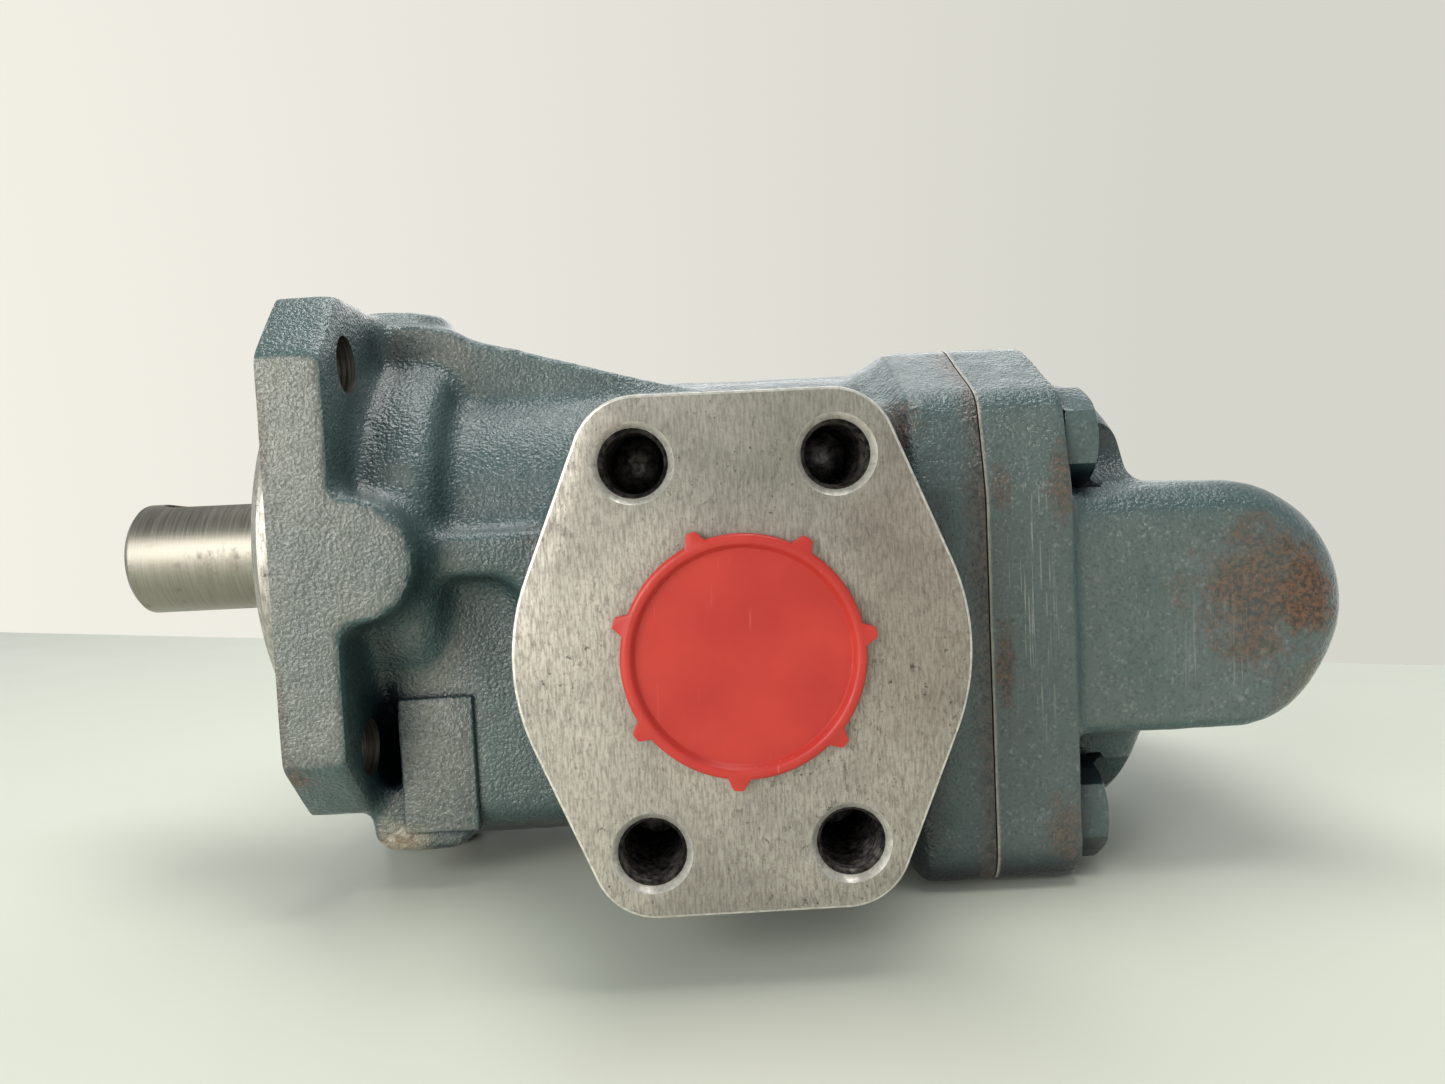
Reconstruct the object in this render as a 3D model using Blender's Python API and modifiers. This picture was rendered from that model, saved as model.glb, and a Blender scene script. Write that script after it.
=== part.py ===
# Hydraulic gear motor, 1 1/4 inch ports on both sides, square four-bolt flange.
#
# Everything below is laid out on the motor's own datum: the axis of the output
# shaft is the x axis, x = 0 is the mounting face of the flange and x grows
# towards the rear cover.  Lengths are millimetres on that datum.  place() turns
# them into metres in the object's frame, whose origin is the middle of the
# lowest plane of the motor, with +X to the rear and +Z up.

import bpy
import bmesh
from math import acos, asin, atan2, cos, degrees, hypot, pi, radians, sin, sqrt, tan
from mathutils import Matrix, Vector

MM = 0.001

# ---------------------------------------------------------------- dimensions
DATUM_X, DATUM_Z = -76.0, 66.0      # datum to the object's frame
GAP = 0.3                           # clearance between neighbouring pieces

CENTRES = 31.0                      # distance of the two gear shafts
MID_Z = -CENTRES / 2.0              # middle of the gear case

# front flange and pilot
PILOT_R, PILOT_H = 40.0, 7.4        # 80 mm pilot
FLANGE_HALF, FLANGE_T = 49.5, 11.8
FLANGE_CHAMFER = 12.7
BOLT_HALF, BOLT_R = 36.4, 5.4       # four holes on a 103 mm circle
LUG_X, LUG_R = 13.0, 10.6           # round cast lugs behind the flange
LUG_SIDE, LUG_TOP, LUG_FOOT = 49.7, 50.2, 66.0

# body
BULGE_R = 41.0                      # bearing housing
NECK_R = 33.6                       # gear case, outside
BODY_END = 128.0
CHAMBER_R = 19.1                    # gear bores

# ports
PORT_X, PORT_Z, PORT_FACE = 82.2, -15.0, 81.3
PORT_R = 16.0
PORT_BOLT_X, PORT_BOLT_Z = 15.1, 29.35
PORT_TAP_R, PORT_TAP_CHAMFER, PORT_TAP_DEPTH = 4.7, 5.7, 24.0

# rear cover
COVER_FRONT, COVER_BACK = 128.3, 144.3
REAR_HALF, REAR_BOTTOM = 50.0, -66.0
SCREW_Y, SCREW_TOP, SCREW_LOW = 36.7, 16.3, -55.2
DOME_Z = -17.0
VALVE_X, VALVE_Z, VALVE_R = 174.7, -16.1, 23.3
VALVE_END = 47.0

# shaft and front bearing (25 x 62 x 17)
SHAFT_R, SHAFT_TIP = 12.0, -46.0
KEY_W, KEY_DEPTH = 8.0, 4.0
BRG_X0, BRG_X1 = 8.0, 25.0
BRG_RI, BRG_RO, BRG_PITCH = 12.5, 31.0, 21.75
BALLS, BALL_R, RACE_R = 8, 5.3, 5.75

# gears
TEETH, MODULE, ALPHA = 10, 3.0, radians(20.0)
GEAR_X0, GEAR_X1 = 62.0, 102.0
SHIFT = 0.186
GEAR_TIP, GEAR_ROOT, FLANK_ROOT = 18.5, 11.9, 12.2
BACKLASH = 0.010                    # radians taken off each flank
JOURNAL_R = 11.0

SEG = 28                            # facets on a large round


# ------------------------------------------------------------------- helpers
for old in list(bpy.data.objects):
    bpy.data.objects.remove(old, do_unlink=True)

PARTS = bpy.data.collections.new("hydraulic_motor")
TOOLS = bpy.data.collections.new("cutters")
bpy.context.scene.collection.children.link(PARTS)
bpy.context.scene.collection.children.link(TOOLS)


def place(x, y, z):
    """Datum millimetres to metres in the object's frame."""
    return Vector(((x + DATUM_X) * MM, y * MM, (z + DATUM_Z) * MM))


def paint(name, colour, rough, metal):
    mat = bpy.data.materials.new(name)
    mat.use_nodes = True
    bsdf = mat.node_tree.nodes["Principled BSDF"]
    bsdf.inputs["Base Color"].default_value = (*colour, 1.0)
    bsdf.inputs["Roughness"].default_value = rough
    bsdf.inputs["Metallic"].default_value = metal
    mat.diffuse_color = (*colour, 1.0)
    return mat


LOOKS = {
    "paint": ((0.098, 0.135, 0.146), 0.42, 0.0),
    "steel": ((0.62, 0.61, 0.59), 0.28, 1.0),
    "bearing_steel": ((0.72, 0.72, 0.73), 0.18, 1.0),
    "iron": ((0.33, 0.32, 0.31), 0.5, 1.0),
    "bronze": ((0.62, 0.42, 0.22), 0.35, 1.0),
    "aluminium": ((0.68, 0.69, 0.70), 0.35, 1.0),
    "rubber": ((0.018, 0.018, 0.02), 0.7, 0.0),
    "red_plastic": ((0.60, 0.045, 0.035), 0.38, 0.0),
}


def finish(obj, look):
    colour, rough, metal = LOOKS[look]
    obj.data.materials.clear()
    obj.data.materials.append(paint(obj.name, colour, rough, metal))
    return obj


def smooth(mesh, angle=35.0):
    mesh.shade_smooth()
    mesh.set_sharp_from_angle(angle=radians(angle))


def put(name, mesh, matrix, cutter=False):
    obj = bpy.data.objects.new(name, mesh)
    obj.matrix_world = matrix
    (TOOLS if cutter else PARTS).objects.link(obj)
    if cutter:
        obj.hide_render = True
        obj.display_type = 'WIRE'
    return obj


def axis_frame(axis, centre=(0.0, 0.0)):
    """A frame whose local z runs along a datum axis; centre is where that
    axis lies, in the frame's own x and y: (y, z), (z, x) or (x, y)."""
    a, b = centre
    if axis == 'X':        # local x, y, z -> world y, z, x
        rot = Matrix(((0, 0, 1), (1, 0, 0), (0, 1, 0)))
        return Matrix.Translation(place(0.0, a, b)) @ rot.to_4x4()
    if axis == 'Y':        # local x, y, z -> world z, x, y
        rot = Matrix(((0, 1, 0), (0, 0, 1), (1, 0, 0)))
        return Matrix.Translation(place(b, 0.0, a)) @ rot.to_4x4()
    return Matrix.Translation(place(a, b, 0.0))


def turned(name, profile, axis='X', centre=(0.0, 0.0), seg=SEG, cutter=False):
    """A turned piece: (along, radius) points, swept round by a Screw modifier.
    A profile that leaves the axis is a ring and closes on itself."""
    pts = [(r, h) for h, r in profile]
    ring = min(r for r, _ in pts) > 1e-6
    area = sum(p[0] * q[1] - q[0] * p[1] for p, q in zip(pts, pts[1:] + pts[:1]))
    if area > 0:
        pts.reverse()
    bm = bmesh.new()
    verts = [bm.verts.new((r * MM, 0.0, h * MM)) for r, h in pts]
    for a, b in zip(verts, verts[1:]):
        bm.edges.new((a, b))
    if ring:
        bm.edges.new((verts[-1], verts[0]))
    mesh = bpy.data.meshes.new(name)
    bm.to_mesh(mesh)
    bm.free()
    obj = put(name, mesh, axis_frame(axis, centre), cutter)
    mod = obj.modifiers.new("turn", 'SCREW')
    mod.axis = 'Z'
    mod.steps = mod.render_steps = seg
    mod.use_merge_vertices = True
    mod.merge_threshold = 0.00001
    mod.use_smooth_shade = False
    # the profile is applied at once, so that it can be cut and checked
    deps = bpy.context.evaluated_depsgraph_get()
    solid = bpy.data.meshes.new_from_object(obj.evaluated_get(deps))
    solid.name = name
    obj.modifiers.clear()
    obj.data = solid
    outward(obj)
    smooth(solid)
    return obj


def outward(obj):
    bm = bmesh.new()
    bm.from_mesh(obj.data)
    bmesh.ops.remove_doubles(bm, verts=bm.verts, dist=0.000002)
    bmesh.ops.recalc_face_normals(bm, faces=bm.faces)
    if bm.calc_volume(signed=True) < 0:
        bmesh.ops.reverse_faces(bm, faces=bm.faces)
    bm.to_mesh(obj.data)
    bm.free()


def plate(name, loops, lo, hi, axis='X', centre=(0.0, 0.0), cutter=False, bevel=0.0,
          bevel_seg=2, bevel_angle=30.0):
    """A flat outline with holes, extruded along a datum axis from lo to hi.
    Outline points are in the frame's local x and y."""
    curve = bpy.data.curves.new(name, 'CURVE')
    curve.dimensions = '2D'
    curve.fill_mode = 'BOTH'
    curve.extrude = (hi - lo) / 2.0 * MM
    for loop in loops:
        spline = curve.splines.new('POLY')
        spline.points.add(len(loop) - 1)
        for point, (u, v) in zip(spline.points, loop):
            point.co = (u * MM, v * MM, 0.0, 1.0)
        spline.use_cyclic_u = True
    shape = bpy.data.objects.new(name + "_outline", curve)
    TOOLS.objects.link(shape)
    deps = bpy.context.evaluated_depsgraph_get()
    mesh = bpy.data.meshes.new_from_object(shape.evaluated_get(deps))
    bpy.data.objects.remove(shape, do_unlink=True)
    bm = bmesh.new()
    bm.from_mesh(mesh)
    bmesh.ops.remove_doubles(bm, verts=bm.verts, dist=0.000002)
    bmesh.ops.dissolve_limit(bm, angle_limit=radians(0.3), verts=bm.verts, edges=bm.edges)
    bmesh.ops.recalc_face_normals(bm, faces=bm.faces)
    bm.to_mesh(mesh)
    bm.free()
    mesh.name = name
    frame = axis_frame(axis, centre) @ Matrix.Translation((0, 0, (lo + hi) / 2.0 * MM))
    obj = put(name, mesh, frame, cutter)
    outward(obj)
    if bevel > 0:
        mod = obj.modifiers.new("edge", 'BEVEL')
        mod.width = bevel * MM
        mod.segments = bevel_seg
        mod.limit_method = 'ANGLE'
        mod.angle_limit = radians(bevel_angle)
    return obj


def drill(name, holes, cutter=True):
    """One cutter with a cylinder or cone for each (axis, a, b, lo, hi, r_lo,
    r_hi, facets); a and b are the datum coordinates of its centre line."""
    bm = bmesh.new()
    for axis, a, b, lo, hi, r_lo, r_hi, seg in holes:
        frame = axis_frame(axis, (a, b)) @ Matrix.Translation((0, 0, (lo + hi) / 2.0 * MM))
        bmesh.ops.create_cone(bm, cap_ends=True, segments=seg, radius1=r_lo * MM,
                              radius2=r_hi * MM, depth=(hi - lo) * MM,
                              matrix=frame @ Matrix.Rotation(pi / seg, 4, 'Z'))
    mesh = bpy.data.meshes.new(name)
    bm.to_mesh(mesh)
    bm.free()
    return put(name, mesh, Matrix.Identity(4), cutter)


def block(name, x, y, z, bevel=0.0, bevel_seg=3, cutter=True):
    """A box between two datum values on each axis."""
    bm = bmesh.new()
    bmesh.ops.create_cube(bm, size=1.0)
    for vert in bm.verts:
        vert.co.x *= (x[1] - x[0]) * MM
        vert.co.y *= (y[1] - y[0]) * MM
        vert.co.z *= (z[1] - z[0]) * MM
    mesh = bpy.data.meshes.new(name)
    bm.to_mesh(mesh)
    bm.free()
    mid = place(sum(x) / 2.0, sum(y) / 2.0, sum(z) / 2.0)
    obj = put(name, mesh, Matrix.Translation(mid), cutter)
    if bevel > 0:
        mod = obj.modifiers.new("edge", 'BEVEL')
        mod.width = bevel * MM
        mod.segments = bevel_seg
    return obj


def combine(obj, tool, how='DIFFERENCE'):
    mod = obj.modifiers.new(tool.name, 'BOOLEAN')
    mod.operation = how
    mod.solver = 'EXACT'
    mod.object = tool
    return obj


def bake(obj):
    """Apply the modifiers of a finished piece."""
    bpy.context.view_layer.update()
    deps = bpy.context.evaluated_depsgraph_get()
    mesh = bpy.data.meshes.new_from_object(obj.evaluated_get(deps))
    mesh.name = obj.name
    obj.modifiers.clear()
    obj.data = mesh
    smooth(mesh)
    return obj


def arc(cu, cv, r, a0, a1, n):
    return [(cu + r * cos(radians(a0 + (a1 - a0) * i / n)),
             cv + r * sin(radians(a0 + (a1 - a0) * i / n))) for i in range(n + 1)]


def circle(r, cu=0.0, cv=0.0, n=20):
    return arc(cu, cv, r, 0.0, 360.0, n)[:-1]


def racetrack(r, n=10):
    """Upright slot outline round both gear axes, in local (y, z)."""
    return arc(0, 0, r, 0, 180, n) + arc(0, -CENTRES, r, 180, 360, n)


def figure8(r, n=16):
    """Two overlapping circles round both gear axes, in local (y, z)."""
    cut = degrees(asin(CENTRES / 2.0 / r))
    return (arc(0, 0, r, -cut, 180 + cut, n)[:-1]
            + arc(0, -CENTRES, r, 180 - cut, 360 + cut, n)[:-1])


def rounded(corners, n=3):
    """Closed outline from (u, v, radius) corners."""
    out = []
    count = len(corners)
    for i, (u, v, r) in enumerate(corners):
        p = Vector((u, v))
        a = (Vector(corners[i - 1][:2]) - p).normalized()
        b = (Vector(corners[(i + 1) % count][:2]) - p).normalized()
        if r <= 0:
            out.append((u, v))
            continue
        half = acos(max(-1.0, min(1.0, a.dot(b)))) / 2.0
        centre = p + (a + b).normalized() * (r / sin(half))
        start = p + a * (r / tan(half)) - centre
        end = p + b * (r / tan(half)) - centre
        s, e = atan2(start.y, start.x), atan2(end.y, end.x)
        sweep = (e - s + pi) % (2 * pi) - pi
        for k in range(n + 1):
            t = s + sweep * k / n
            out.append((centre.x + r * cos(t), centre.y + r * sin(t)))
    return out


def torus(name, x, r, minor, seg=24, around=6, axis='X', centre=(0.0, 0.0)):
    ring = [(x + minor * cos(2 * pi * k / around), r + minor * sin(2 * pi * k / around))
            for k in range(around)]
    return turned(name, ring, axis, centre, seg)


# ------------------------------------------------------------------- outlines
# rear profile of the body and of the cover, in (y, z)
REAR = rounded([(-REAR_HALF, REAR_BOTTOM, 7), (REAR_HALF, REAR_BOTTOM, 7),
                (REAR_HALF, 7, 14), (45.6, 24.6, 7), (22, 36, 12),
                (-22, 36, 12), (-45.6, 24.6, 7), (-REAR_HALF, 7, 14)])

# port boss, in (x, z) from the port's centre
PORT_OUTLINE = [(21.1, 39.4, 10), (37.3, 0.0, 34), (21.1, -39.4, 10),
                (-21.1, -39.4, 10), (-37.3, 0.0, 34), (-21.1, 39.4, 10)]


# gear case: round above, flat sides, shallow bottom, in (y, z)
CASE = (arc(0, 0, NECK_R, 0, 180, 12)
        + rounded([(-NECK_R, -30, 0), (-NECK_R, -53.9, 8), (-10, -62.8, 30), (10, -62.8, 30),
                   (NECK_R, -53.9, 8), (NECK_R, -30, 0)], 3)[1:-1])


def grown(outline, by):
    """The port boss's outline with more metal all round."""
    return [(PORT_Z + v * (1 + by / hypot(u, v)), PORT_X + u * (1 + by / hypot(u, v)))
            for u, v in rounded(outline, 3)]


# -------------------------------------------------------------------- housing
half, ch = FLANGE_HALF, FLANGE_CHAMFER
flange = [(half, half - ch), (half - ch, half), (-half + ch, half), (-half, half - ch),
          (-half, -half + ch), (-half + ch, -half), (half - ch, -half), (half, -half + ch)]
housing = plate("housing", [flange], 0.0, FLANGE_T, bevel=1.2, bevel_seg=2)

adds = [
    turned("add_pilot", [(3, 0), (3, PILOT_R), (-PILOT_H + 1.6, PILOT_R),
                         (-PILOT_H, PILOT_R - 1.6), (-PILOT_H, 0)], cutter=True),
    turned("add_bulge", [(5, 0), (5, 39), (12.5, 40.6), (15, BULGE_R), (22, BULGE_R),
                         (25, 40.2), (27, 38.2), (28, 34), (28, 0)], cutter=True),
    plate("add_neck", [CASE], 16.0, 122.0, cutter=True),
    # lugs at the top, the bottom and both sides
    drill("add_lug_upright", [('Z', LUG_X, 0, -LUG_FOOT, LUG_TOP, LUG_R, LUG_R, 20)]),
    drill("add_lug_level", [('Y', 0, LUG_X + 1.0, -LUG_SIDE, LUG_SIDE, 11.5, 11.5, 20)]),
]
# local x, y of a Y frame are datum z, x
web = [(15.0, 14.0), (47.0, 14.0), (46.6, 25.5), (43.6, 31.0), (40.6, 42.0), (32.7, 70.0),
       (28.0, 92.0), (15.0, 92.0)]
adds.append(plate("add_web", [web], -15.2, 15.2, axis='Y', cutter=True, bevel=2.0,
                  bevel_seg=1))
adds.append(block("add_ribs", (20.0, 60.0), (-39.5, 39.5), (-4.0, 3.6), bevel=1.4,
                  bevel_seg=1))
adds.append(plate("add_collar", [grown(PORT_OUTLINE, 4.5)], -39.2, 39.2, axis='Y',
                  cutter=True, bevel=1.4, bevel_seg=1, bevel_angle=60.0))
port = grown(PORT_OUTLINE, 0.0)
adds.append(plate("add_ports", [port], -PORT_FACE, PORT_FACE, axis='Y', cutter=True,
                  bevel=0.8, bevel_seg=1))
adds.append(plate("add_rear", [REAR], 115.0, BODY_END, cutter=True))
shoulder = rounded([(-46.5, -62.5, 9), (46.5, -62.5, 9), (46.5, 5, 12), (42, 22, 8),
                    (20, 33.2, 12), (-20, 33.2, 12), (-42, 22, 8), (-46.5, 5, 12)], 3)
adds.append(plate("add_shoulder", [shoulder], 109.5, 118.0, cutter=True, bevel=3.0,
                  bevel_seg=1, bevel_angle=60.0))
# cast pads on the flat side of the gear case, left plain
adds.append(block("add_pad_low", (16.4, 31.2), (-34.6, 34.6), (-55.0, -27.8), bevel=0.5,
                  bevel_seg=1))
# broad foot under the front of the gear case
adds.append(block("add_foot", (9.8, 29.4), (-33.0, 33.0), (-58.4, -46.0), bevel=4.0,
                  bevel_seg=2))
for tool in adds:
    combine(housing, tool, 'UNION')

cuts = [
    # bearing and seal bore, groove of its circlip, shaft clearance
    turned("cut_bearing", [(-PILOT_H - 1, 0), (-PILOT_H - 1, 32.3), (-PILOT_H, 32.3),
                           (-PILOT_H + 1.0, BRG_RO + GAP), (-5.6, BRG_RO + GAP),
                           (-5.6, 33.0), (-3.7, 33.0), (-3.7, BRG_RO + GAP),
                           (25.3, BRG_RO + GAP), (25.3, 24.0), (30.0, 24.0), (30.0, 14.5),
                           (38.0, 14.5), (38.0, 0)], cutter=True),
    plate("cut_chamber", [figure8(CHAMBER_R)], 36.3, 135.0, cutter=True),
    # outer groove for the cover's seal
    plate("cut_seal_groove", [racetrack(26.4, 10), racetrack(23.0, 10)], 125.6, 131.0,
          cutter=True),
    drill("cut_port_bores", [('Y', PORT_Z, PORT_X, -90, -6, PORT_R, PORT_R, 28),
                             ('Y', PORT_Z, PORT_X, 6, 90, PORT_R, PORT_R, 28)]),
    drill("cut_flange_holes", [('X', sy * BOLT_HALF, sz * BOLT_HALF, -5, 15.4, BOLT_R,
                                BOLT_R, 16) for sy in (-1, 1) for sz in (-1, 1)]),
    drill("cut_drain", [('Z', LUG_X, 0, 36.0, 60.0, 7.3, 7.3, 16)]),
    drill("cut_drain_bore", [('Z', LUG_X, 0, 28.0, 40.0, 3.5, 3.5, 8)]),
    drill("cut_cover_taps", [('X', sy * SCREW_Y, z, 114.5, 135.0, 5.3, 5.3, 10)
                             for sy in (-1, 1) for z in (SCREW_TOP, SCREW_LOW)]),
    drill("cut_dowels", [('X', sy * 40.0, MID_Z - 2.0, 119.7, 135.0, 4.3, 4.3, 10)
                         for sy in (-1, 1)]),
    # passages from the ports to the valve in the cover
    drill("cut_passages", [('X', sy * 17.0, MID_Z, 92.0, 135.0, 3.4, 3.4, 8)
                           for sy in (-1, 1)]),
]
taps, sinks = [], []
for sx in (-1, 1):
    for sz in (-1, 1):
        x, z = PORT_X + sx * PORT_BOLT_X, PORT_Z + sz * PORT_BOLT_Z
        for side in (-1, 1):
            lo, hi = sorted((side * (PORT_FACE - PORT_TAP_DEPTH), side * (PORT_FACE + 5)))
            taps.append(('Y', z, x, lo, hi, PORT_TAP_R, PORT_TAP_R, 12))
            deep, out = side * (PORT_FACE - 1.0), side * (PORT_FACE + 0.5)
            lo, hi = sorted((deep, out))
            wide = PORT_TAP_CHAMFER + 0.5
            sinks.append(('Y', z, x, lo, hi, wide if side < 0 else PORT_TAP_R,
                          PORT_TAP_R if side < 0 else wide, 12))
cuts += [drill("cut_port_taps", taps), drill("cut_port_sinks", sinks)]
for tool in cuts:
    combine(housing, tool)
bake(housing)
finish(housing, "paint")


# ----------------------------------------------------------------- rear cover
cover = plate("rear_cover", [REAR], COVER_FRONT, COVER_BACK, bevel=1.6, bevel_seg=2,
              bevel_angle=60.0)
dome = [(140, 0), (140, 46.0), (153.6, 45.8), (157.6, 44.7), (160.3, 42.0), (161.4, 39),
        (162.4, 26), (163, 12), (163, 0)]
bar = ([(VALVE_Z - VALVE_R, 141.0)]
       + [(VALVE_Z + v, VALVE_X + u) for v, u in arc(0, 0, VALVE_R, 180, 0, 10)]
       + [(VALVE_Z + VALVE_R, 141.0)])
for tool in (turned("add_dome", dome, centre=(0.0, DOME_Z), cutter=True),
             plate("add_bar", [bar], -VALVE_END, VALVE_END, axis='Y', cutter=True,
                   bevel=5.0, bevel_seg=2, bevel_angle=60.0)):
    combine(cover, tool, 'UNION')
for tool in (
    # relief round each screw head, and the screw holes
    drill("cut_scallops", [('X', sy * SCREW_Y, z, COVER_BACK, 166.0, 10.6, 10.6, 16)
                           for sy in (-1, 1) for z in (SCREW_TOP, SCREW_LOW)]),
    drill("cut_screw_holes", [('X', sy * SCREW_Y, z, 120.0, 150.0, 5.5, 5.5, 10)
                              for sy in (-1, 1) for z in (SCREW_TOP, SCREW_LOW)]),
    drill("cut_cover_dowels", [('X', sy * 40.0, MID_Z - 2.0, 120.0, 136.6, 4.3, 4.3, 10)
                               for sy in (-1, 1)]),
    drill("cut_cover_passages", [('X', sy * 17.0, MID_Z, 120.0, 172.0, 3.4, 3.4, 8)
                                 for sy in (-1, 1)]),
    # stepped bore of the relief valve, open at the far end of the bar
    turned("cut_valve", [(-27, 0), (-27, 6.0), (-8.0, 6.0), (-8.0, 11.3),
                         (60, 11.3), (60, 0)],
           axis='Y', centre=(VALVE_Z, VALVE_X), seg=20, cutter=True),
):
    combine(cover, tool)
bake(cover)
finish(cover, "paint")


# ----------------------------------------------------------------- fasteners
def hex_screw(name, y, z):
    """M10 hexagon head screw, flats upright, head towards the rear."""
    head0 = COVER_BACK + GAP
    head1 = head0 + 6.4
    across = 17.0
    bm = bmesh.new()
    frame = axis_frame('X', (y, z))
    bmesh.ops.create_cone(bm, cap_ends=True, segments=6, radius1=across / sqrt(3) * MM,
                          radius2=across / sqrt(3) * MM, depth=(head1 - head0) * MM,
                          matrix=frame @ Matrix.Translation((0, 0, (head0 + head1) / 2 * MM))
                          @ Matrix.Rotation(radians(90), 4, 'Z'))
    mesh = bpy.data.meshes.new(name)
    bm.to_mesh(mesh)
    bm.free()
    screw = put(name, mesh, Matrix.Identity(4))
    dish = turned(name + "_dish", [(head0 - 1, 0), (head0 - 1, 10.4), (head1 - 1.0, 10.4),
                                   (head1 + 0.5, 7.3), (head1 + 0.5, 0)], centre=(y, z), seg=20,
                  cutter=True)
    combine(screw, dish, 'INTERSECT')
    shank = turned(name + "_shank", [(115.3, 0), (115.3, 4.0), (116.3, 4.9),
                                     (head0 + 2, 4.9), (head0 + 2, 0)],
                   centre=(y, z), seg=10, cutter=True)
    combine(screw, shank, 'UNION')
    bake(screw)
    return finish(screw, "paint")


number = 1
for z in (SCREW_TOP, SCREW_LOW):
    for sy in (-1, 1):
        hex_screw("cover_screw_%d" % number, sy * SCREW_Y, z)
        number += 1

for number, sy in enumerate((-1, 1), 1):
    dowel = turned("dowel_pin_%d" % number,
                   [(120.2, 0), (120.2, 3.4), (120.8, 4.0), (135.6, 4.0), (136.2, 3.4),
                    (136.2, 0)], centre=(sy * 40.0, MID_Z - 2.0), seg=10)
    finish(dowel, "steel")

finish(plate("cover_seal", [racetrack(26.0, 10), racetrack(23.4, 10)], 125.9, 128.1), "rubber")

plug = turned("drain_plug", [(40.5, 0), (40.5, 6.0), (41.5, 7.0), (49.6, 7.0), (50.0, 6.6),
                             (50.0, 0)], axis='Z', centre=(LUG_X, 0.0), seg=16)
socket = drill("cut_drain_socket", [('Z', LUG_X, 0, 44.5, 52.0, 3.46, 3.46, 6)])
combine(plug, socket)
bake(plug)
finish(plug, "steel")


# --------------------------------------------------------------------- gears
def involute(t):
    return tan(t) - t


def gear_outline():
    """Closed outline of one gear, first tooth along +v: involute flanks from
    the base circle to the tip, radial below it, and a running clearance."""
    base = MODULE * TEETH / 2.0 * cos(ALPHA)
    half = ((pi / 2.0 + 2.0 * SHIFT * tan(ALPHA)) / TEETH + involute(ALPHA)
            - BACKLASH)
    flank = []
    for k in range(7):
        r = FLANK_ROOT + (GEAR_TIP - FLANK_ROOT) * k / 6.0
        flank.append((r, half - (involute(acos(base / r)) if r > base else 0.0)))
    out = []
    for tooth in range(TEETH):
        mid = 2 * pi * tooth / TEETH
        out.append((GEAR_ROOT, mid - pi / TEETH))
        out += [(r, mid - a) for r, a in flank]
        out += [(r, mid + a) for r, a in reversed(flank)]
    out.reverse()
    return [(r * sin(a), r * cos(a)) for r, a in out]


def gear_shaft(name, outline, profile, centre, turn):
    """Gear and shaft in one piece."""
    c, s = cos(turn), sin(turn)
    loop = [(u * c - v * s, u * s + v * c) for u, v in outline]
    obj = plate(name, [loop], GEAR_X0, GEAR_X1, centre=centre)
    shaft = turned(name + "_shaft", profile, centre=centre, seg=24, cutter=True)
    combine(obj, shaft, 'UNION')
    return obj


teeth = gear_outline()
drive = gear_shaft("drive_gear_shaft", teeth,
                   [(SHAFT_TIP, 0), (SHAFT_TIP, SHAFT_R - 1.2), (SHAFT_TIP + 1.2, SHAFT_R),
                    (7.6, SHAFT_R), (7.6, 12.2), (25.8, 12.2), (25.8, 11.4), (27.8, 11.4),
                    (27.8, 12.2), (35.0, 12.2), (36.0, JOURNAL_R), (126.6, JOURNAL_R),
                    (127.4, JOURNAL_R - 0.8), (127.4, 0)], (0.0, 0.0), pi)
keyway = rounded([(SHAFT_TIP + 4.5, -KEY_W / 2, KEY_W / 2 - 0.05),
                  (-6.0, -KEY_W / 2, KEY_W / 2 - 0.05), (-6.0, KEY_W / 2, KEY_W / 2 - 0.05),
                  (SHAFT_TIP + 4.5, KEY_W / 2, KEY_W / 2 - 0.05)], 4)
combine(drive, plate("cut_keyway", [keyway], SHAFT_R - KEY_DEPTH, 15.0, axis='Z',
                     cutter=True))
bake(drive)
finish(drive, "steel")

driven = gear_shaft("driven_gear_shaft", teeth,
                    [(37.0, 0), (37.0, JOURNAL_R - 0.8), (37.8, JOURNAL_R),
                     (126.6, JOURNAL_R), (127.4, JOURNAL_R - 0.8), (127.4, 0)],
                    (0.0, -CENTRES), pi / TEETH)
bake(driven)
finish(driven, "steel")


# ------------------------------------------------- bearing blocks and bushes
def bearing_block(name, lo, hi, seal_side):
    body = plate(name, [figure8(CHAMBER_R - GAP, 15), circle(13.6, 0, 0, 20),
                        circle(13.6, 0, -CENTRES, 20)], lo, hi)
    ends = (lo - 1.0, lo + 2.6) if seal_side < 0 else (hi - 2.6, hi + 1.0)
    groove = plate(name + "_groove", [figure8(17.1, 12), circle(14.7, 0, 0, 16),
                                      circle(14.7, 0, -CENTRES, 16)], *ends, cutter=True)
    combine(body, groove)
    bake(body)
    finish(body, "aluminium")
    seat = (lo + 0.1, lo + 2.3) if seal_side < 0 else (hi - 2.3, hi - 0.1)
    seal = plate(name.replace("bearing_block", "block_seal"),
                 [figure8(16.8, 12), circle(15.0, 0, 0, 16), circle(15.0, 0, -CENTRES, 16)],
                 *seat)
    finish(seal, "rubber")


bearing_block("front_bearing_block", 36.6, GEAR_X0 - GAP, -1)
bearing_block("rear_bearing_block", GEAR_X1 + GAP, 127.8, 1)

for side, lo, hi in (("front", 37.0, 61.4), ("rear", 102.6, 127.4)):
    for shaft, z in (("drive", 0.0), ("driven", -CENTRES)):
        bush = turned("%s_%s_bush" % (side, shaft),
                      [(lo, JOURNAL_R + GAP), (hi, JOURNAL_R + GAP), (hi, 13.3), (lo, 13.3)],
                      centre=(0.0, z), seg=20)
        finish(bush, "bronze")


# -------------------------------------------------------------- front bearing
mid = (BRG_X0 + BRG_X1) / 2.0


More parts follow.
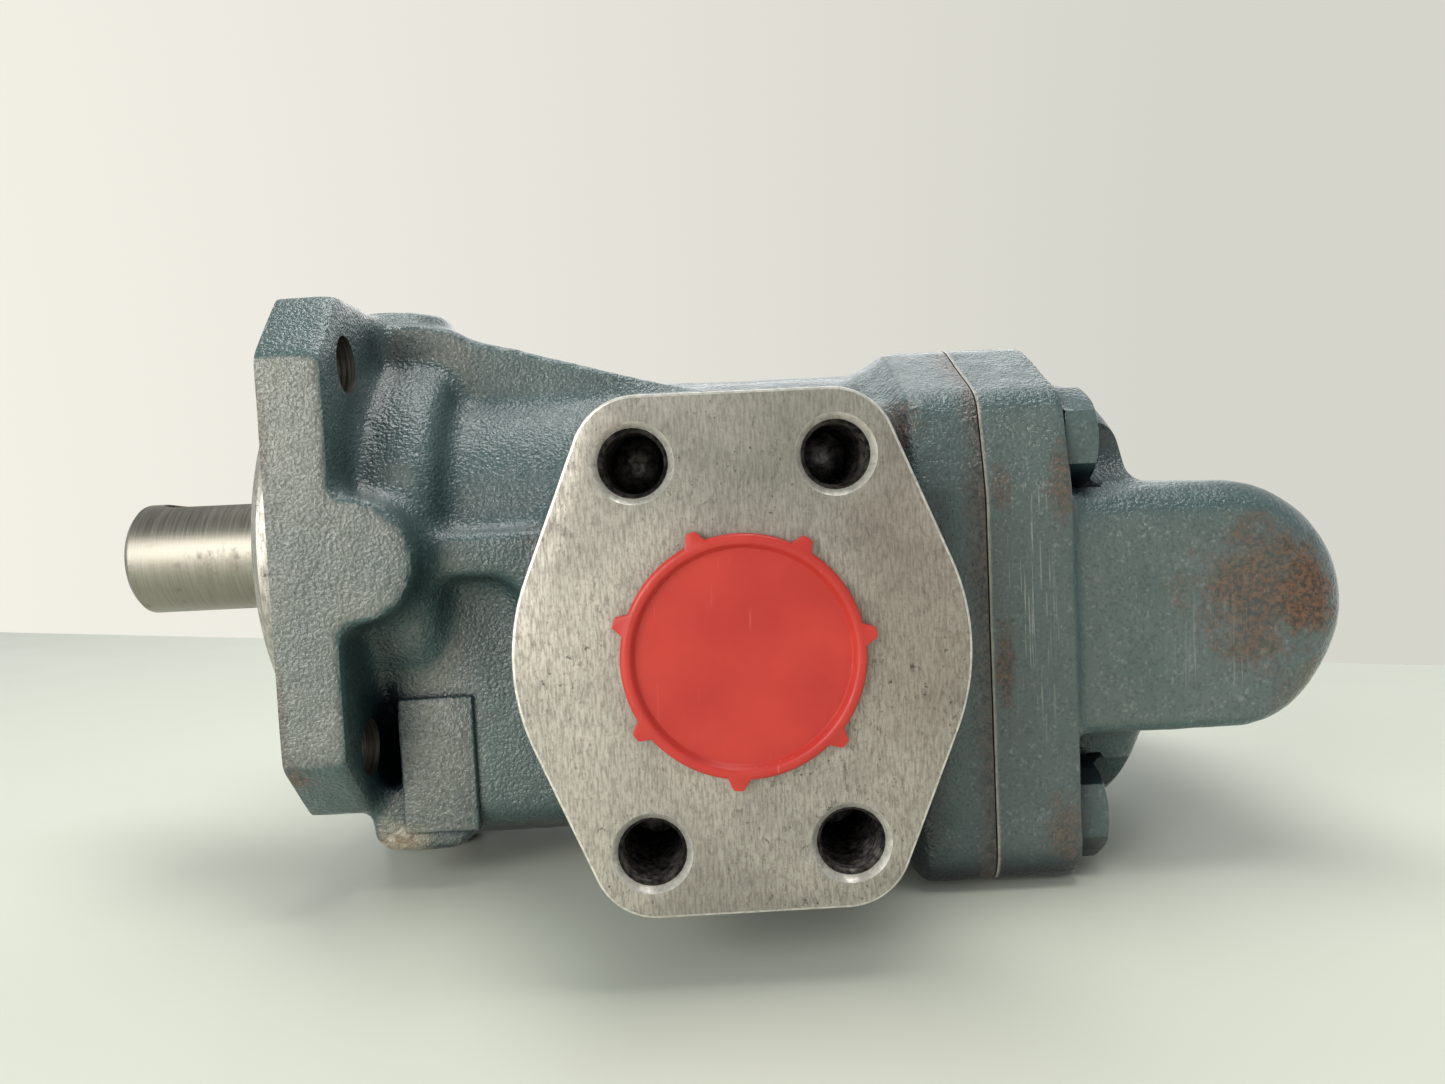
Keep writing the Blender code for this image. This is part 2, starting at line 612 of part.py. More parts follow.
def race(r_shoulder, outer):
    """Points of a ball groove across a ring's raceway side."""
    half = sqrt(RACE_R ** 2 - (r_shoulder - BRG_PITCH) ** 2)
    a = atan2(abs(r_shoulder - BRG_PITCH), half)
    sign = 1.0 if outer else -1.0
    return [(mid - RACE_R * cos(t), BRG_PITCH + sign * RACE_R * sin(t))
            for t in [a + (pi - 2 * a) * k / 4 for k in range(5)]]


outer_ring = turned("bearing_outer_ring",
                    [(BRG_X0, 25.6)] + race(25.6, True)
                    + [(BRG_X1, 25.6), (BRG_X1, BRG_RO - 0.8), (BRG_X1 - 0.8, BRG_RO),
                       (BRG_X0 + 0.8, BRG_RO), (BRG_X0, BRG_RO - 0.8)], seg=22)
finish(outer_ring, "bearing_steel")
inner_ring = turned("bearing_inner_ring",
                    [(BRG_X0, 17.9)] + race(17.9, False)
                    + [(BRG_X1, 17.9), (BRG_X1, BRG_RI), (BRG_X0, BRG_RI)], seg=20)
finish(inner_ring, "bearing_steel")

cage = turned("bearing_cage", [(9.3, 20.3), (23.7, 20.3), (23.7, 23.2), (9.3, 23.2)],
              seg=16)
pockets = bmesh.new()
for k in range(BALLS):
    a = 2 * pi * (k + 0.5) / BALLS
    aim = Vector((0.0, cos(a), sin(a)))
    frame = (Matrix.Translation(place(mid, BRG_PITCH * cos(a), BRG_PITCH * sin(a)))
             @ aim.to_track_quat('Z', 'X').to_matrix().to_4x4())
    bmesh.ops.create_cone(pockets, cap_ends=True, segments=8, radius1=6.2 * MM,
                          radius2=6.2 * MM, depth=8.0 * MM, matrix=frame)
mesh = bpy.data.meshes.new("cut_pockets")
pockets.to_mesh(mesh)
pockets.free()
combine(cage, put("cut_pockets", mesh, Matrix.Identity(4), cutter=True))
bake(cage)
finish(cage, "bronze")

for k in range(BALLS):
    a = 2 * pi * (k + 0.5) / BALLS
    bm = bmesh.new()
    bmesh.ops.create_uvsphere(bm, u_segments=10, v_segments=7, radius=BALL_R * MM)
    mesh = bpy.data.meshes.new("bearing_ball_%d" % (k + 1))
    bm.to_mesh(mesh)
    bm.free()
    mesh.shade_smooth()
    ball = put("bearing_ball_%d" % (k + 1), mesh,
               Matrix.Translation(place(mid, BRG_PITCH * cos(a), BRG_PITCH * sin(a))))
    finish(ball, "bearing_steel")


def circlip(name, x0, x1, r_in, r_out, open_deg, lug_in, centre=(0.0, 0.0), tilt=90.0):
    """Open ring with two eyes for the pliers."""
    h = open_deg / 2.0
    outer = arc(0, 0, r_out, tilt + h, tilt + 360 - h, 20)
    inner = arc(0, 0, r_in, tilt + 360 - h, tilt + h, 20)
    ring = plate(name, [outer + inner], x0, x1, centre=centre)
    return ring


finish(circlip("shaft_circlip", 26.2, 27.4, 11.7, 15.0, 40.0, False), "steel")
finish(circlip("carrier_circlip", -5.3, -4.0, 28.4, 32.6, 36.0, True), "steel")


# ----------------------------------------------------------------- shaft seal
carrier = turned("seal_carrier",
                 [(-3.4, 14.5), (-0.6, 14.5), (-0.6, 20.3), (7.7, 20.3), (7.7, 30.6),
                  (7.3, 31.0), (4.4, 31.0), (4.4, 28.5), (1.6, 28.5), (1.6, 31.0),
                  (-3.4, 31.0)], seg=26)
finish(carrier, "aluminium")
finish(torus("carrier_o_ring", 3.0, 29.75, 0.95, 26, 5), "rubber")
finish(turned("shaft_seal",
              [(-0.3, 20.0), (-0.3, 15.2), (1.2, 12.6), (2.6, 12.3), (5.6, 12.9),
               (5.6, 13.6), (2.6, 13.4), (1.4, 15.4), (1.4, 17.4), (7.2, 17.4),
               (7.2, 20.0)], seg=18), "rubber")
finish(torus("garter_spring", 4.6, 14.9, 0.7, 18, 5), "steel")


# ----------------------------------------------------------------- port caps
def port_cap(name, side):
    """Push-in port cap with a dished face and seven small ears on its rim."""
    def at(depth):
        return side * (PORT_FACE + depth)
    cap = turned(name, [(at(0.3), 0), (at(0.3) - side * 13.0, 0), (at(0.3) - side * 13.0, 14.6),
                        (at(0.3) - side * 11.5, 15.55), (at(0.3), 15.7), (at(0.3), 18.35),
                        (at(2.0), 18.35), (at(2.3), 17.9), (at(2.3), 16.6), (at(1.0), 16.3),
                        (at(1.0), 0)],
                 axis='Y', centre=(PORT_Z, PORT_X), seg=22)
    lo, hi = sorted((at(0.4), at(2.2)))
    ears = []
    for k in range(7):
        a = 2 * pi * k / 7 + radians(8.0)
        ears.append(('Y', PORT_Z + 18.2 * sin(a), PORT_X + 18.2 * cos(a), lo, hi, 1.7, 1.7, 4))
    combine(cap, drill(name + "_ears", ears), 'UNION')
    # hollow plug, open towards the port
    lo, hi = sorted((at(0.3) - side * 14.0, at(0.3) - side * 1.2))
    combine(cap, drill(name + "_hollow", [('Y', PORT_Z, PORT_X, lo, hi, 13.4, 13.4, 14)]))
    bake(cap)
    return finish(cap, "red_plastic")


port_cap("port_cap_a", -1)
port_cap("port_cap_b", 1)


# --------------------------------------------------------------- relief valve
def on_valve(name, profile, look, seg=18):
    return finish(turned(name, profile, 'Y', (VALVE_Z, VALVE_X), seg), look)


on_valve("relief_seat", [(-7.6, 4.2), (-1.0, 4.2), (0.6, 5.6), (0.6, 11.0), (-7.6, 11.0)],
         "steel")
on_valve("relief_poppet", [(-3.6, 0), (-3.6, 2.1), (1.4, 5.5), (4.4, 8.4), (9.0, 8.4),
                           (9.0, 4.4), (15.0, 4.2), (15.0, 0)], "steel")

coils, wire, spring_r = 5.5, 1.4, 6.4
y0, y1 = 9.0 + wire + 0.3, 33.6 - wire - 0.3
count = 48
curve = bpy.data.curves.new("relief_spring", 'CURVE')
curve.dimensions = '3D'
curve.bevel_depth = wire * MM
curve.bevel_resolution = 2
curve.use_fill_caps = True
spline = curve.splines.new('POLY')
spline.points.add(count)
for k in range(count + 1):
    t = k / count
    ease = min(max((t - 0.14) / 0.72, 0.0), 1.0)
    a = 2 * pi * coils * t
    dead = (t - ease) * 0.0
    y = y0 + (y1 - y0) * (0.10 * min(t / 0.14, 1.0) + 0.80 * ease
                          + 0.10 * max((t - 0.86) / 0.14, 0.0)) + dead
    p = place(VALVE_X + spring_r * cos(a), y, VALVE_Z + spring_r * sin(a))
    spline.points[k].co = (p.x, p.y, p.z, 1.0)
coil = bpy.data.objects.new("coil_path", curve)
TOOLS.objects.link(coil)
mesh = bpy.data.meshes.new_from_object(
    coil.evaluated_get(bpy.context.evaluated_depsgraph_get()))
bpy.data.objects.remove(coil, do_unlink=True)
mesh.name = "relief_spring"
spring = put("relief_spring", mesh, Matrix.Identity(4))
outward(spring)
smooth(spring.data, 60.0)
finish(spring, "steel")

on_valve("relief_spring_seat", [(33.6, 0), (33.6, 10.6), (36.6, 10.6), (37.6, 6.0),
                                (38.6, 6.0), (38.6, 0)], "steel")


def hex_piece(name, across, lo, hi, extras, bore, look):
    """Hexagonal piece on the valve's axis with turned extras and a bore."""
    bm = bmesh.new()
    frame = (axis_frame('Y', (VALVE_Z, VALVE_X))
             @ Matrix.Translation((0, 0, (lo + hi) / 2.0 * MM)))
    bmesh.ops.create_cone(bm, cap_ends=True, segments=6, radius1=across / sqrt(3) * MM,
                          radius2=across / sqrt(3) * MM, depth=(hi - lo) * MM, matrix=frame)
    mesh = bpy.data.meshes.new(name)
    bm.to_mesh(mesh)
    bm.free()
    obj = put(name, mesh, Matrix.Identity(4))
    rim = across / sqrt(3)
    dish = turned(name + "_dish", [(lo - 0.5, 0), (lo - 0.5, rim - 1.4),
                                   (lo + 1.2, rim + 0.3), (hi - 1.2, rim + 0.3),
                                   (hi + 0.5, rim - 1.4), (hi + 0.5, 0)],
                  'Y', (VALVE_Z, VALVE_X), 20, cutter=True)
    combine(obj, dish, 'INTERSECT')
    for i, profile in enumerate(extras):
        combine(obj, turned("%s_extra_%d" % (name, i), profile, 'Y', (VALVE_Z, VALVE_X), 18,
                            cutter=True), 'UNION')
    if bore:
        combine(obj, turned(name + "_bore", bore, 'Y', (VALVE_Z, VALVE_X), 16, cutter=True))
    bake(obj)
    return finish(obj, look)


hex_piece("relief_bonnet", 27.0, 48.9, 57.0,
          [[(39.2, 0), (39.2, 10.2), (40.0, 11.0), (52.0, 11.0), (52.0, 0)]],
          [(38.0, 0), (38.0, 4.3), (60.0, 4.3), (60.0, 0)], "steel")
on_valve("relief_bonnet_seal", [(47.3, 11.6), (48.6, 11.6), (48.6, 15.2), (47.3, 15.2)],
         "aluminium", 24)
adjuster = turned("relief_adjuster", [(38.9, 0), (38.9, 3.4), (39.5, 4.0), (69.4, 4.0),
                                      (70.0, 3.4), (70.0, 0)], 'Y', (VALVE_Z, VALVE_X), 12)
combine(adjuster, drill("cut_adjuster_socket",
                        [('Y', VALVE_Z, VALVE_X, 65.5, 72.0, 2.3, 2.3, 6)]))
bake(adjuster)
finish(adjuster, "steel")
hex_piece("relief_lock_nut", 13.0, 57.3, 62.0, [],
          [(56.0, 0), (56.0, 4.3), (64.0, 4.3), (64.0, 0)], "steel")
hex_piece("relief_cap_nut", 16.0, 62.3, 69.0,
          [[(66.0, 0), (66.0, 6.9), (71.0, 6.6), (73.6, 5.2), (75.0, 3.0), (75.4, 0)]],
          [(61.0, 0), (61.0, 4.3), (71.8, 4.3), (71.8, 0)], "steel")
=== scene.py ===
# Looks of the hydraulic gear motor: fine meshes and procedural materials around
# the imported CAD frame.  Lengths below are millimetres on the motor's datum (x
# along the shaft from the mounting face, z = 0 on the shaft's axis); place()
# turns them into metres in the frame.

from math import acos, asin, atan2, ceil, cos, degrees, hypot, pi, radians, sin, sqrt, tan

import bmesh
import bpy
import numpy as np
from mathutils import Matrix, Vector, noise


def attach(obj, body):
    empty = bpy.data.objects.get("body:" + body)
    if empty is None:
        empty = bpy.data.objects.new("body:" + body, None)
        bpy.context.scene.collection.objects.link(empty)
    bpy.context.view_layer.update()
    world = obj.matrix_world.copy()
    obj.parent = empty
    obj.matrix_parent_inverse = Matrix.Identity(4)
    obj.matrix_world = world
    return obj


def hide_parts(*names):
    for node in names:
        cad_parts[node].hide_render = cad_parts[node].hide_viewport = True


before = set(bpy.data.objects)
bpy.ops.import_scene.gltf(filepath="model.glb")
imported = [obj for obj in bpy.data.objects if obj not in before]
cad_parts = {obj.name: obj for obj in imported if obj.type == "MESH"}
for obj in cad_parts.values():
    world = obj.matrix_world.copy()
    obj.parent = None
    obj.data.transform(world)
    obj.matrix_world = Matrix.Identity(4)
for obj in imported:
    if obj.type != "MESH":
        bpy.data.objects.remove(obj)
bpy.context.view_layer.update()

MM = 0.001
DATUM_X, DATUM_Z = -76.0, 66.0
GAP = 0.3
CENTRES = 31.0
MID_Z = -CENTRES / 2.0
PORT_X, PORT_Z, PORT_FACE = 82.2, -15.0, 81.3
LUG_X = 13.0
VALVE_X, VALVE_Z, VALVE_R = 174.7, -16.1, 23.3
SCREWS = [(sy * 36.7, z) for z in (16.3, -55.2) for sy in (-1, 1)]
SEG = 96

bpy.context.scene.view_settings.view_transform = 'Standard'


# =================================================================== camera
camera = bpy.data.cameras.new("camera")
camera.sensor_width = 36.0
camera.sensor_fit = 'HORIZONTAL'
camera.lens = 25.93
camera.clip_start = 0.01
cam = bpy.data.objects.new("camera", camera)
bpy.context.scene.collection.objects.link(cam)
right = Vector((0.99852, -0.02749, -0.04703))
up = Vector((0.04845, 0.05316, 0.99741))
ahead = Vector((0.02492, 0.99821, -0.05442))
aim = Matrix((right, up, -ahead)).transposed().to_4x4()
cam.matrix_world = Matrix.Translation((0.0, -0.2354, 0.0765)) @ aim
bpy.context.scene.camera = cam


# ================================================================== helpers
def place(x, y, z):
    return Vector(((x + DATUM_X) * MM, y * MM, (z + DATUM_Z) * MM))


def put(name, mesh, matrix):
    obj = bpy.data.objects.new(name, mesh)
    obj.matrix_world = matrix
    bpy.context.scene.collection.objects.link(obj)
    return obj


def axis_frame(axis, centre=(0.0, 0.0)):
    a, b = centre
    if axis == 'X':
        rot = Matrix(((0, 0, 1), (1, 0, 0), (0, 1, 0)))
        return Matrix.Translation(place(0.0, a, b)) @ rot.to_4x4()
    if axis == 'Y':
        rot = Matrix(((0, 1, 0), (0, 0, 1), (1, 0, 0)))
        return Matrix.Translation(place(b, 0.0, a)) @ rot.to_4x4()
    return Matrix.Translation(place(a, b, 0.0))


def smooth(mesh, angle=34.0):
    mesh.shade_smooth()
    mesh.set_sharp_from_angle(angle=radians(angle))


def outward(obj):
    bm = bmesh.new()
    bm.from_mesh(obj.data)
    bmesh.ops.remove_doubles(bm, verts=bm.verts, dist=0.000002)
    bmesh.ops.recalc_face_normals(bm, faces=bm.faces)
    if bm.calc_volume(signed=True) < 0:
        bmesh.ops.reverse_faces(bm, faces=bm.faces)
    bm.to_mesh(obj.data)
    bm.free()


def turned(name, profile, axis='X', centre=(0.0, 0.0), seg=SEG):
    """A turned piece from (along, radius) points, by a Screw modifier."""
    pts = [(r, h) for h, r in profile]
    ring = min(r for r, _ in pts) > 1e-6
    area = sum(p[0] * q[1] - q[0] * p[1] for p, q in zip(pts, pts[1:] + pts[:1]))
    if area > 0:
        pts.reverse()
    bm = bmesh.new()
    verts = [bm.verts.new((r * MM, 0.0, h * MM)) for r, h in pts]
    for a, b in zip(verts, verts[1:]):
        bm.edges.new((a, b))
    if ring:
        bm.edges.new((verts[-1], verts[0]))
    mesh = bpy.data.meshes.new(name)
    bm.to_mesh(mesh)
    bm.free()
    obj = put(name, mesh, axis_frame(axis, centre))
    mod = obj.modifiers.new("turn", 'SCREW')
    mod.axis = 'Z'
    mod.steps = mod.render_steps = seg
    mod.use_merge_vertices = True
    mod.merge_threshold = 0.00001
    mod.use_smooth_shade = False
    deps = bpy.context.evaluated_depsgraph_get()
    solid = bpy.data.meshes.new_from_object(obj.evaluated_get(deps))
    obj.modifiers.clear()
    obj.data = solid
    outward(obj)
    smooth(solid)
    return obj


def plate(name, loops, lo, hi, axis='X', centre=(0.0, 0.0), bevel=0.0, bevel_seg=4,
          bevel_angle=30.0):
    """A flat outline with holes, extruded along a datum axis from lo to hi."""
    curve = bpy.data.curves.new(name, 'CURVE')
    curve.dimensions = '2D'
    curve.fill_mode = 'BOTH'
    curve.extrude = (hi - lo) / 2.0 * MM
    for loop in loops:
        spline = curve.splines.new('POLY')
        spline.points.add(len(loop) - 1)
        for point, (u, v) in zip(spline.points, loop):
            point.co = (u * MM, v * MM, 0.0, 1.0)
        spline.use_cyclic_u = True
    shape = put(name + "_outline", curve, Matrix.Identity(4))
    deps = bpy.context.evaluated_depsgraph_get()
    mesh = bpy.data.meshes.new_from_object(shape.evaluated_get(deps))
    bpy.data.objects.remove(shape, do_unlink=True)
    bm = bmesh.new()
    bm.from_mesh(mesh)
    bmesh.ops.remove_doubles(bm, verts=bm.verts, dist=0.000002)
    bmesh.ops.dissolve_limit(bm, angle_limit=radians(0.2), verts=bm.verts, edges=bm.edges)
    bmesh.ops.recalc_face_normals(bm, faces=bm.faces)
    bm.to_mesh(mesh)
    bm.free()
    obj = put(name, mesh, axis_frame(axis, centre)
              @ Matrix.Translation((0, 0, (lo + hi) / 2.0 * MM)))
    outward(obj)
    if bevel > 0:
        mod = obj.modifiers.new("edge", 'BEVEL')
        mod.width = bevel * MM
        mod.segments = bevel_seg
        mod.limit_method = 'ANGLE'
        mod.angle_limit = radians(bevel_angle)
    return obj


def drill(name, holes):
    bm = bmesh.new()
    for axis, a, b, lo, hi, r_lo, r_hi, seg in holes:
        where = axis_frame(axis, (a, b)) @ Matrix.Translation((0, 0, (lo + hi) / 2.0 * MM))
        bmesh.ops.create_cone(bm, cap_ends=True, segments=seg, radius1=r_lo * MM,
                              radius2=r_hi * MM, depth=(hi - lo) * MM, matrix=where)
    mesh = bpy.data.meshes.new(name)
    bm.to_mesh(mesh)
    bm.free()
    return put(name, mesh, Matrix.Identity(4))


def block(name, x, y, z, bevel=0.0, bevel_seg=3):
    bm = bmesh.new()
    bmesh.ops.create_cube(bm, size=1.0)
    for vert in bm.verts:
        vert.co.x *= (x[1] - x[0]) * MM
        vert.co.y *= (y[1] - y[0]) * MM
        vert.co.z *= (z[1] - z[0]) * MM
    mesh = bpy.data.meshes.new(name)
    bm.to_mesh(mesh)
    bm.free()
    obj = put(name, mesh, Matrix.Translation(place(sum(x) / 2, sum(y) / 2, sum(z) / 2)))
    if bevel > 0:
        mod = obj.modifiers.new("edge", 'BEVEL')
        mod.width = bevel * MM
        mod.segments = bevel_seg
    return obj


def read(obj):
    """The evaluated mesh, in the frame's coordinates."""
    bpy.context.view_layer.update()
    deps = bpy.context.evaluated_depsgraph_get()
    mesh = bpy.data.meshes.new_from_object(obj.evaluated_get(deps))
    mesh.transform(obj.matrix_world)
    return mesh


def bake(obj, angle=34.0):
    mesh = read(obj)
    obj.modifiers.clear()
    obj.data = mesh
    obj.matrix_world = Matrix.Identity(4)
    smooth(mesh, angle)
    return obj


def carve(obj, tools, how='DIFFERENCE', solver='MANIFOLD'):
    """Cut or join a list of tools, one after another, and drop them."""
    for tool in tools:
        bake(tool)
        before = len(obj.data.polygons)
        mod = obj.modifiers.new("carve", 'BOOLEAN')
        mod.operation = how
        mod.solver = solver
        mod.object = tool
        made = read(obj)
        if len(made.polygons) < 4 or (len(made.polygons) == before and how == 'UNION'):
            mod.solver = 'EXACT'
            made = read(obj)
        obj.modifiers.clear()
        obj.data = made
        obj.matrix_world = Matrix.Identity(4)
        bpy.data.objects.remove(tool, do_unlink=True)
    return obj


def arc(cu, cv, r, a0, a1, n):
    return [(cu + r * cos(radians(a0 + (a1 - a0) * i / n)),
             cv + r * sin(radians(a0 + (a1 - a0) * i / n))) for i in range(n + 1)]


def circle(r, cu=0.0, cv=0.0, n=64):
    return arc(cu, cv, r, 0.0, 360.0, n)[:-1]


def racetrack(r, n=32):
    return arc(0, 0, r, 0, 180, n) + arc(0, -CENTRES, r, 180, 360, n)


def figure8(r, n=48):
    cut = degrees(asin(CENTRES / 2.0 / r))
    return (arc(0, 0, r, -cut, 180 + cut, n)[:-1]
            + arc(0, -CENTRES, r, 180 - cut, 360 + cut, n)[:-1])


def rounded(corners, n=10):
    out = []
    count = len(corners)
    for i, (u, v, r) in enumerate(corners):
        p = Vector((u, v))
        a = (Vector(corners[i - 1][:2]) - p).normalized()
        b = (Vector(corners[(i + 1) % count][:2]) - p).normalized()
        if r <= 0:
            out.append((u, v))
            continue
        half = acos(max(-1.0, min(1.0, a.dot(b)))) / 2.0
        centre = p + (a + b).normalized() * (r / sin(half))
        start = p + a * (r / tan(half)) - centre
        end = p + b * (r / tan(half)) - centre
        s, e = atan2(start.y, start.x), atan2(end.y, end.x)
        sweep = (e - s + pi) % (2 * pi) - pi
        for k in range(n + 1):
            t = s + sweep * k / n
            out.append((centre.x + r * cos(t), centre.y + r * sin(t)))
    return out


# ------------------------------------------------------------ cast surfaces
def relax(mesh, rounds, hollow, edge, lock=None):
    """Let the skin settle: hollow corners fill to wide cast fillets, outer
    edges round off less."""
    n = len(mesh.vertices)
    co = np.empty(n * 3)
    mesh.vertices.foreach_get("co", co)
    co = co.reshape(-1, 3)
    ed = np.empty(len(mesh.edges) * 2, np.int64)
    mesh.edges.foreach_get("vertices", ed)
    a, b = ed[::2], ed[1::2]
    deg = np.maximum(np.bincount(a, minlength=n) + np.bincount(b, minlength=n), 1)
    normal = np.empty(n * 3)
    for k in range(rounds):
        if k % 3 == 0:
            mesh.vertices.foreach_set("co", co.ravel())
            mesh.update()
            mesh.vertex_normals.foreach_get("vector", normal)
            no = normal.reshape(-1, 3)
        mean = np.empty_like(co)
        for j in range(3):
            mean[:, j] = (np.bincount(a, co[b, j], n) + np.bincount(b, co[a, j], n)) / deg
        d = mean - co
        w = np.where((d * no).sum(1) > 0, hollow, edge)[:, None]
        if lock is not None:
            w = w * lock(co)[:, None]
        co = co + d * w
    mesh.vertices.foreach_set("co", co.ravel())
    mesh.update()
    return co


def hammer(mesh, lumps):
    """Small unevenness of a sand casting: (amplitude mm, wavelength mm) pairs."""
    normals = [v.vector.copy() for v in mesh.vertex_normals]
    for v, n in zip(mesh.vertices, normals):
        p = v.co * 1000.0
        d = 0.0
        for k, (amount, wave) in enumerate(lumps):
            d += amount * noise.noise(p / wave + Vector((31.7 * k, 9.1, 4.3)))
        v.co += n * (d * MM)
    mesh.update()


def cast(name, shapes, voxel, rounds, hollow, edge, lumps):
    """One cast body fused from overlapping shapes."""
    bm = bmesh.new()
    for shape in shapes:
        mesh = read(shape)
        bm.from_mesh(mesh)
        bpy.data.objects.remove(shape, do_unlink=True)
    mesh = bpy.data.meshes.new(name)
    bm.to_mesh(mesh)
    bm.free()
    obj = put(name, mesh, Matrix.Identity(4))
    mod = obj.modifiers.new("skin", 'REMESH')
    mod.mode = 'VOXEL'
    mod.voxel_size = voxel * MM
    mod.adaptivity = 0.0
    bake(obj)
    relax(obj.data, rounds, hollow, edge)
    hammer(obj.data, lumps)
    return obj


# ================================================================ materials
def srgb(r, g, b):
    out = []
    for c in (r, g, b):
        c = c / 255.0
        out.append(c / 12.92 if c <= 0.04045 else ((c + 0.055) / 1.055) ** 2.4)
    return (*out, 1.0)


class Look:
    """A small helper that wires a procedural material."""

    def __init__(self, name):
        self.mat = bpy.data.materials.new(name)
        self.mat.use_nodes = True
        self.nodes = self.mat.node_tree.nodes
        self.links = self.mat.node_tree.links
        self.bsdf = self.nodes["Principled BSDF"]
        self.coord = self.nodes.new("ShaderNodeTexCoord").outputs["Object"]
        self.bumped = None

    def feed(self, socket, value):
        if isinstance(value, bpy.types.NodeSocket):
            self.links.new(value, socket)
        else:
            socket.default_value = value

    def mapping(self, scale=(1, 1, 1), turn=(0, 0, 0), move=(0, 0, 0)):
        node = self.nodes.new("ShaderNodeMapping")
        node.inputs["Scale"].default_value = scale
        node.inputs["Rotation"].default_value = [radians(t) for t in turn]
        node.inputs["Location"].default_value = move
        self.links.new(self.coord, node.inputs["Vector"])
        return node.outputs[0]

    def noise(self, wave, detail=3.0, rough=0.5, vector=None, distort=0.0):
        """Noise with a wavelength in millimetres."""
        node = self.nodes.new("ShaderNodeTexNoise")
        node.inputs["Scale"].default_value = 1000.0 / wave
        node.inputs["Detail"].default_value = detail
        node.inputs["Roughness"].default_value = rough
        node.inputs["Distortion"].default_value = distort
        self.links.new(vector or self.coord, node.inputs["Vector"])
        return node.outputs["Fac"]

    def cells(self, wave, vector=None, feature='F1'):
        node = self.nodes.new("ShaderNodeTexVoronoi")
        node.feature = feature
        node.inputs["Scale"].default_value = 1000.0 / wave
        self.links.new(vector or self.coord, node.inputs["Vector"])
        return node.outputs["Distance"]

    def band(self, value, lo, hi, out_lo=0.0, out_hi=1.0):
        node = self.nodes.new("ShaderNodeMapRange")
        node.interpolation_type = 'SMOOTHSTEP'
        self.feed(node.inputs["Value"], value)
        node.inputs["From Min"].default_value = lo
        node.inputs["From Max"].default_value = hi
        node.inputs["To Min"].default_value = out_lo
        node.inputs["To Max"].default_value = out_hi
        return node.outputs["Result"]

    def math(self, op, a, b=0.0, clamp=False):
        node = self.nodes.new("ShaderNodeMath")
        node.operation = op
        node.use_clamp = clamp
        self.feed(node.inputs[0], a)
        self.feed(node.inputs[1], b)
        return node.outputs[0]

    def mix(self, fac, a, b, blend='MIX'):
        node = self.nodes.new("ShaderNodeMix")
        node.data_type = 'RGBA'
        node.blend_type = blend
        self.feed(node.inputs[0], fac)
        self.feed(node.inputs[6], a)
        self.feed(node.inputs[7], b)
        return node.outputs[2]

    def axis(self, which):
        """An object coordinate in datum millimetres."""
        node = self.nodes.new("ShaderNodeSeparateXYZ")
        self.links.new(self.coord, node.inputs[0])
        shift = {"X": -DATUM_X, "Y": 0.0, "Z": -DATUM_Z}[which]
        scaled = self.math('MULTIPLY', node.outputs["XYZ".index(which)], 1000.0)
        return self.math('ADD', scaled, shift)

    def facing(self, which):
        """How squarely the surface faces along an axis, 0 to 1."""
        geo = self.nodes.new("ShaderNodeNewGeometry")
        node = self.nodes.new("ShaderNodeSeparateXYZ")
        self.links.new(geo.outputs["Normal"], node.inputs[0])
        return self.math('ABSOLUTE', node.outputs["XYZ".index(which)])

    def spot(self, centre, radii, ragged=0.6, wave=4.0):
        """A soft patch round a datum point, broken up by noise."""
        p = place(*centre)
        node = self.nodes.new("ShaderNodeMapping")
        node.vector_type = 'TEXTURE'
        node.inputs["Location"].default_value = p
        node.inputs["Scale"].default_value = [r * MM for r in radii]
        self.links.new(self.coord, node.inputs["Vector"])
        length = self.nodes.new("ShaderNodeVectorMath")
        length.operation = 'LENGTH'
        self.links.new(node.outputs[0], length.inputs[0])
        near = self.math('SUBTRACT', 1.0, length.outputs["Value"])
        mixed = self.math('ADD', self.math('MULTIPLY', self.noise(wave * 2.2, 3, 0.6), 0.55),
                          self.math('MULTIPLY', self.noise(wave * 0.5, 4, 0.8), 0.45))
        rag = self.math('MULTIPLY', self.math('SUBTRACT', mixed, 0.5), 2.6 * ragged)
        return self.band(self.math('ADD', near, rag), 0.05, 0.75)

    def occlude(self, distance, lo=0.0, hi=1.0):
        node = self.nodes.new("ShaderNodeAmbientOcclusion")
        node.samples = 6
        node.inputs["Distance"].default_value = distance * MM
        return self.band(node.outputs["AO"], lo, hi)

    def bump(self, height, strength, distance):
        node = self.nodes.new("ShaderNodeBump")
        node.inputs["Strength"].default_value = strength
        node.inputs["Distance"].default_value = distance * MM
        self.links.new(height, node.inputs["Height"])
        if self.bumped is not None:
            self.links.new(self.bumped, node.inputs["Normal"])
        self.bumped = node.outputs["Normal"]

    def done(self, colour, rough, metal, specular=0.5, coat=0.0, coat_rough=0.3):
        b = self.bsdf.inputs
        self.feed(b["Base Color"], colour)
        self.feed(b["Roughness"], rough)
        self.feed(b["Metallic"], metal)
        b["Specular IOR Level"].default_value = specular
        if coat:
            b["Coat Weight"].default_value = coat
            b["Coat Roughness"].default_value = coat_rough
            if self.bumped is not None:
                self.links.new(self.bumped, b["Coat Normal"])
        if self.bumped is not None:
            self.links.new(self.bumped, b["Normal"])
        return self.mat


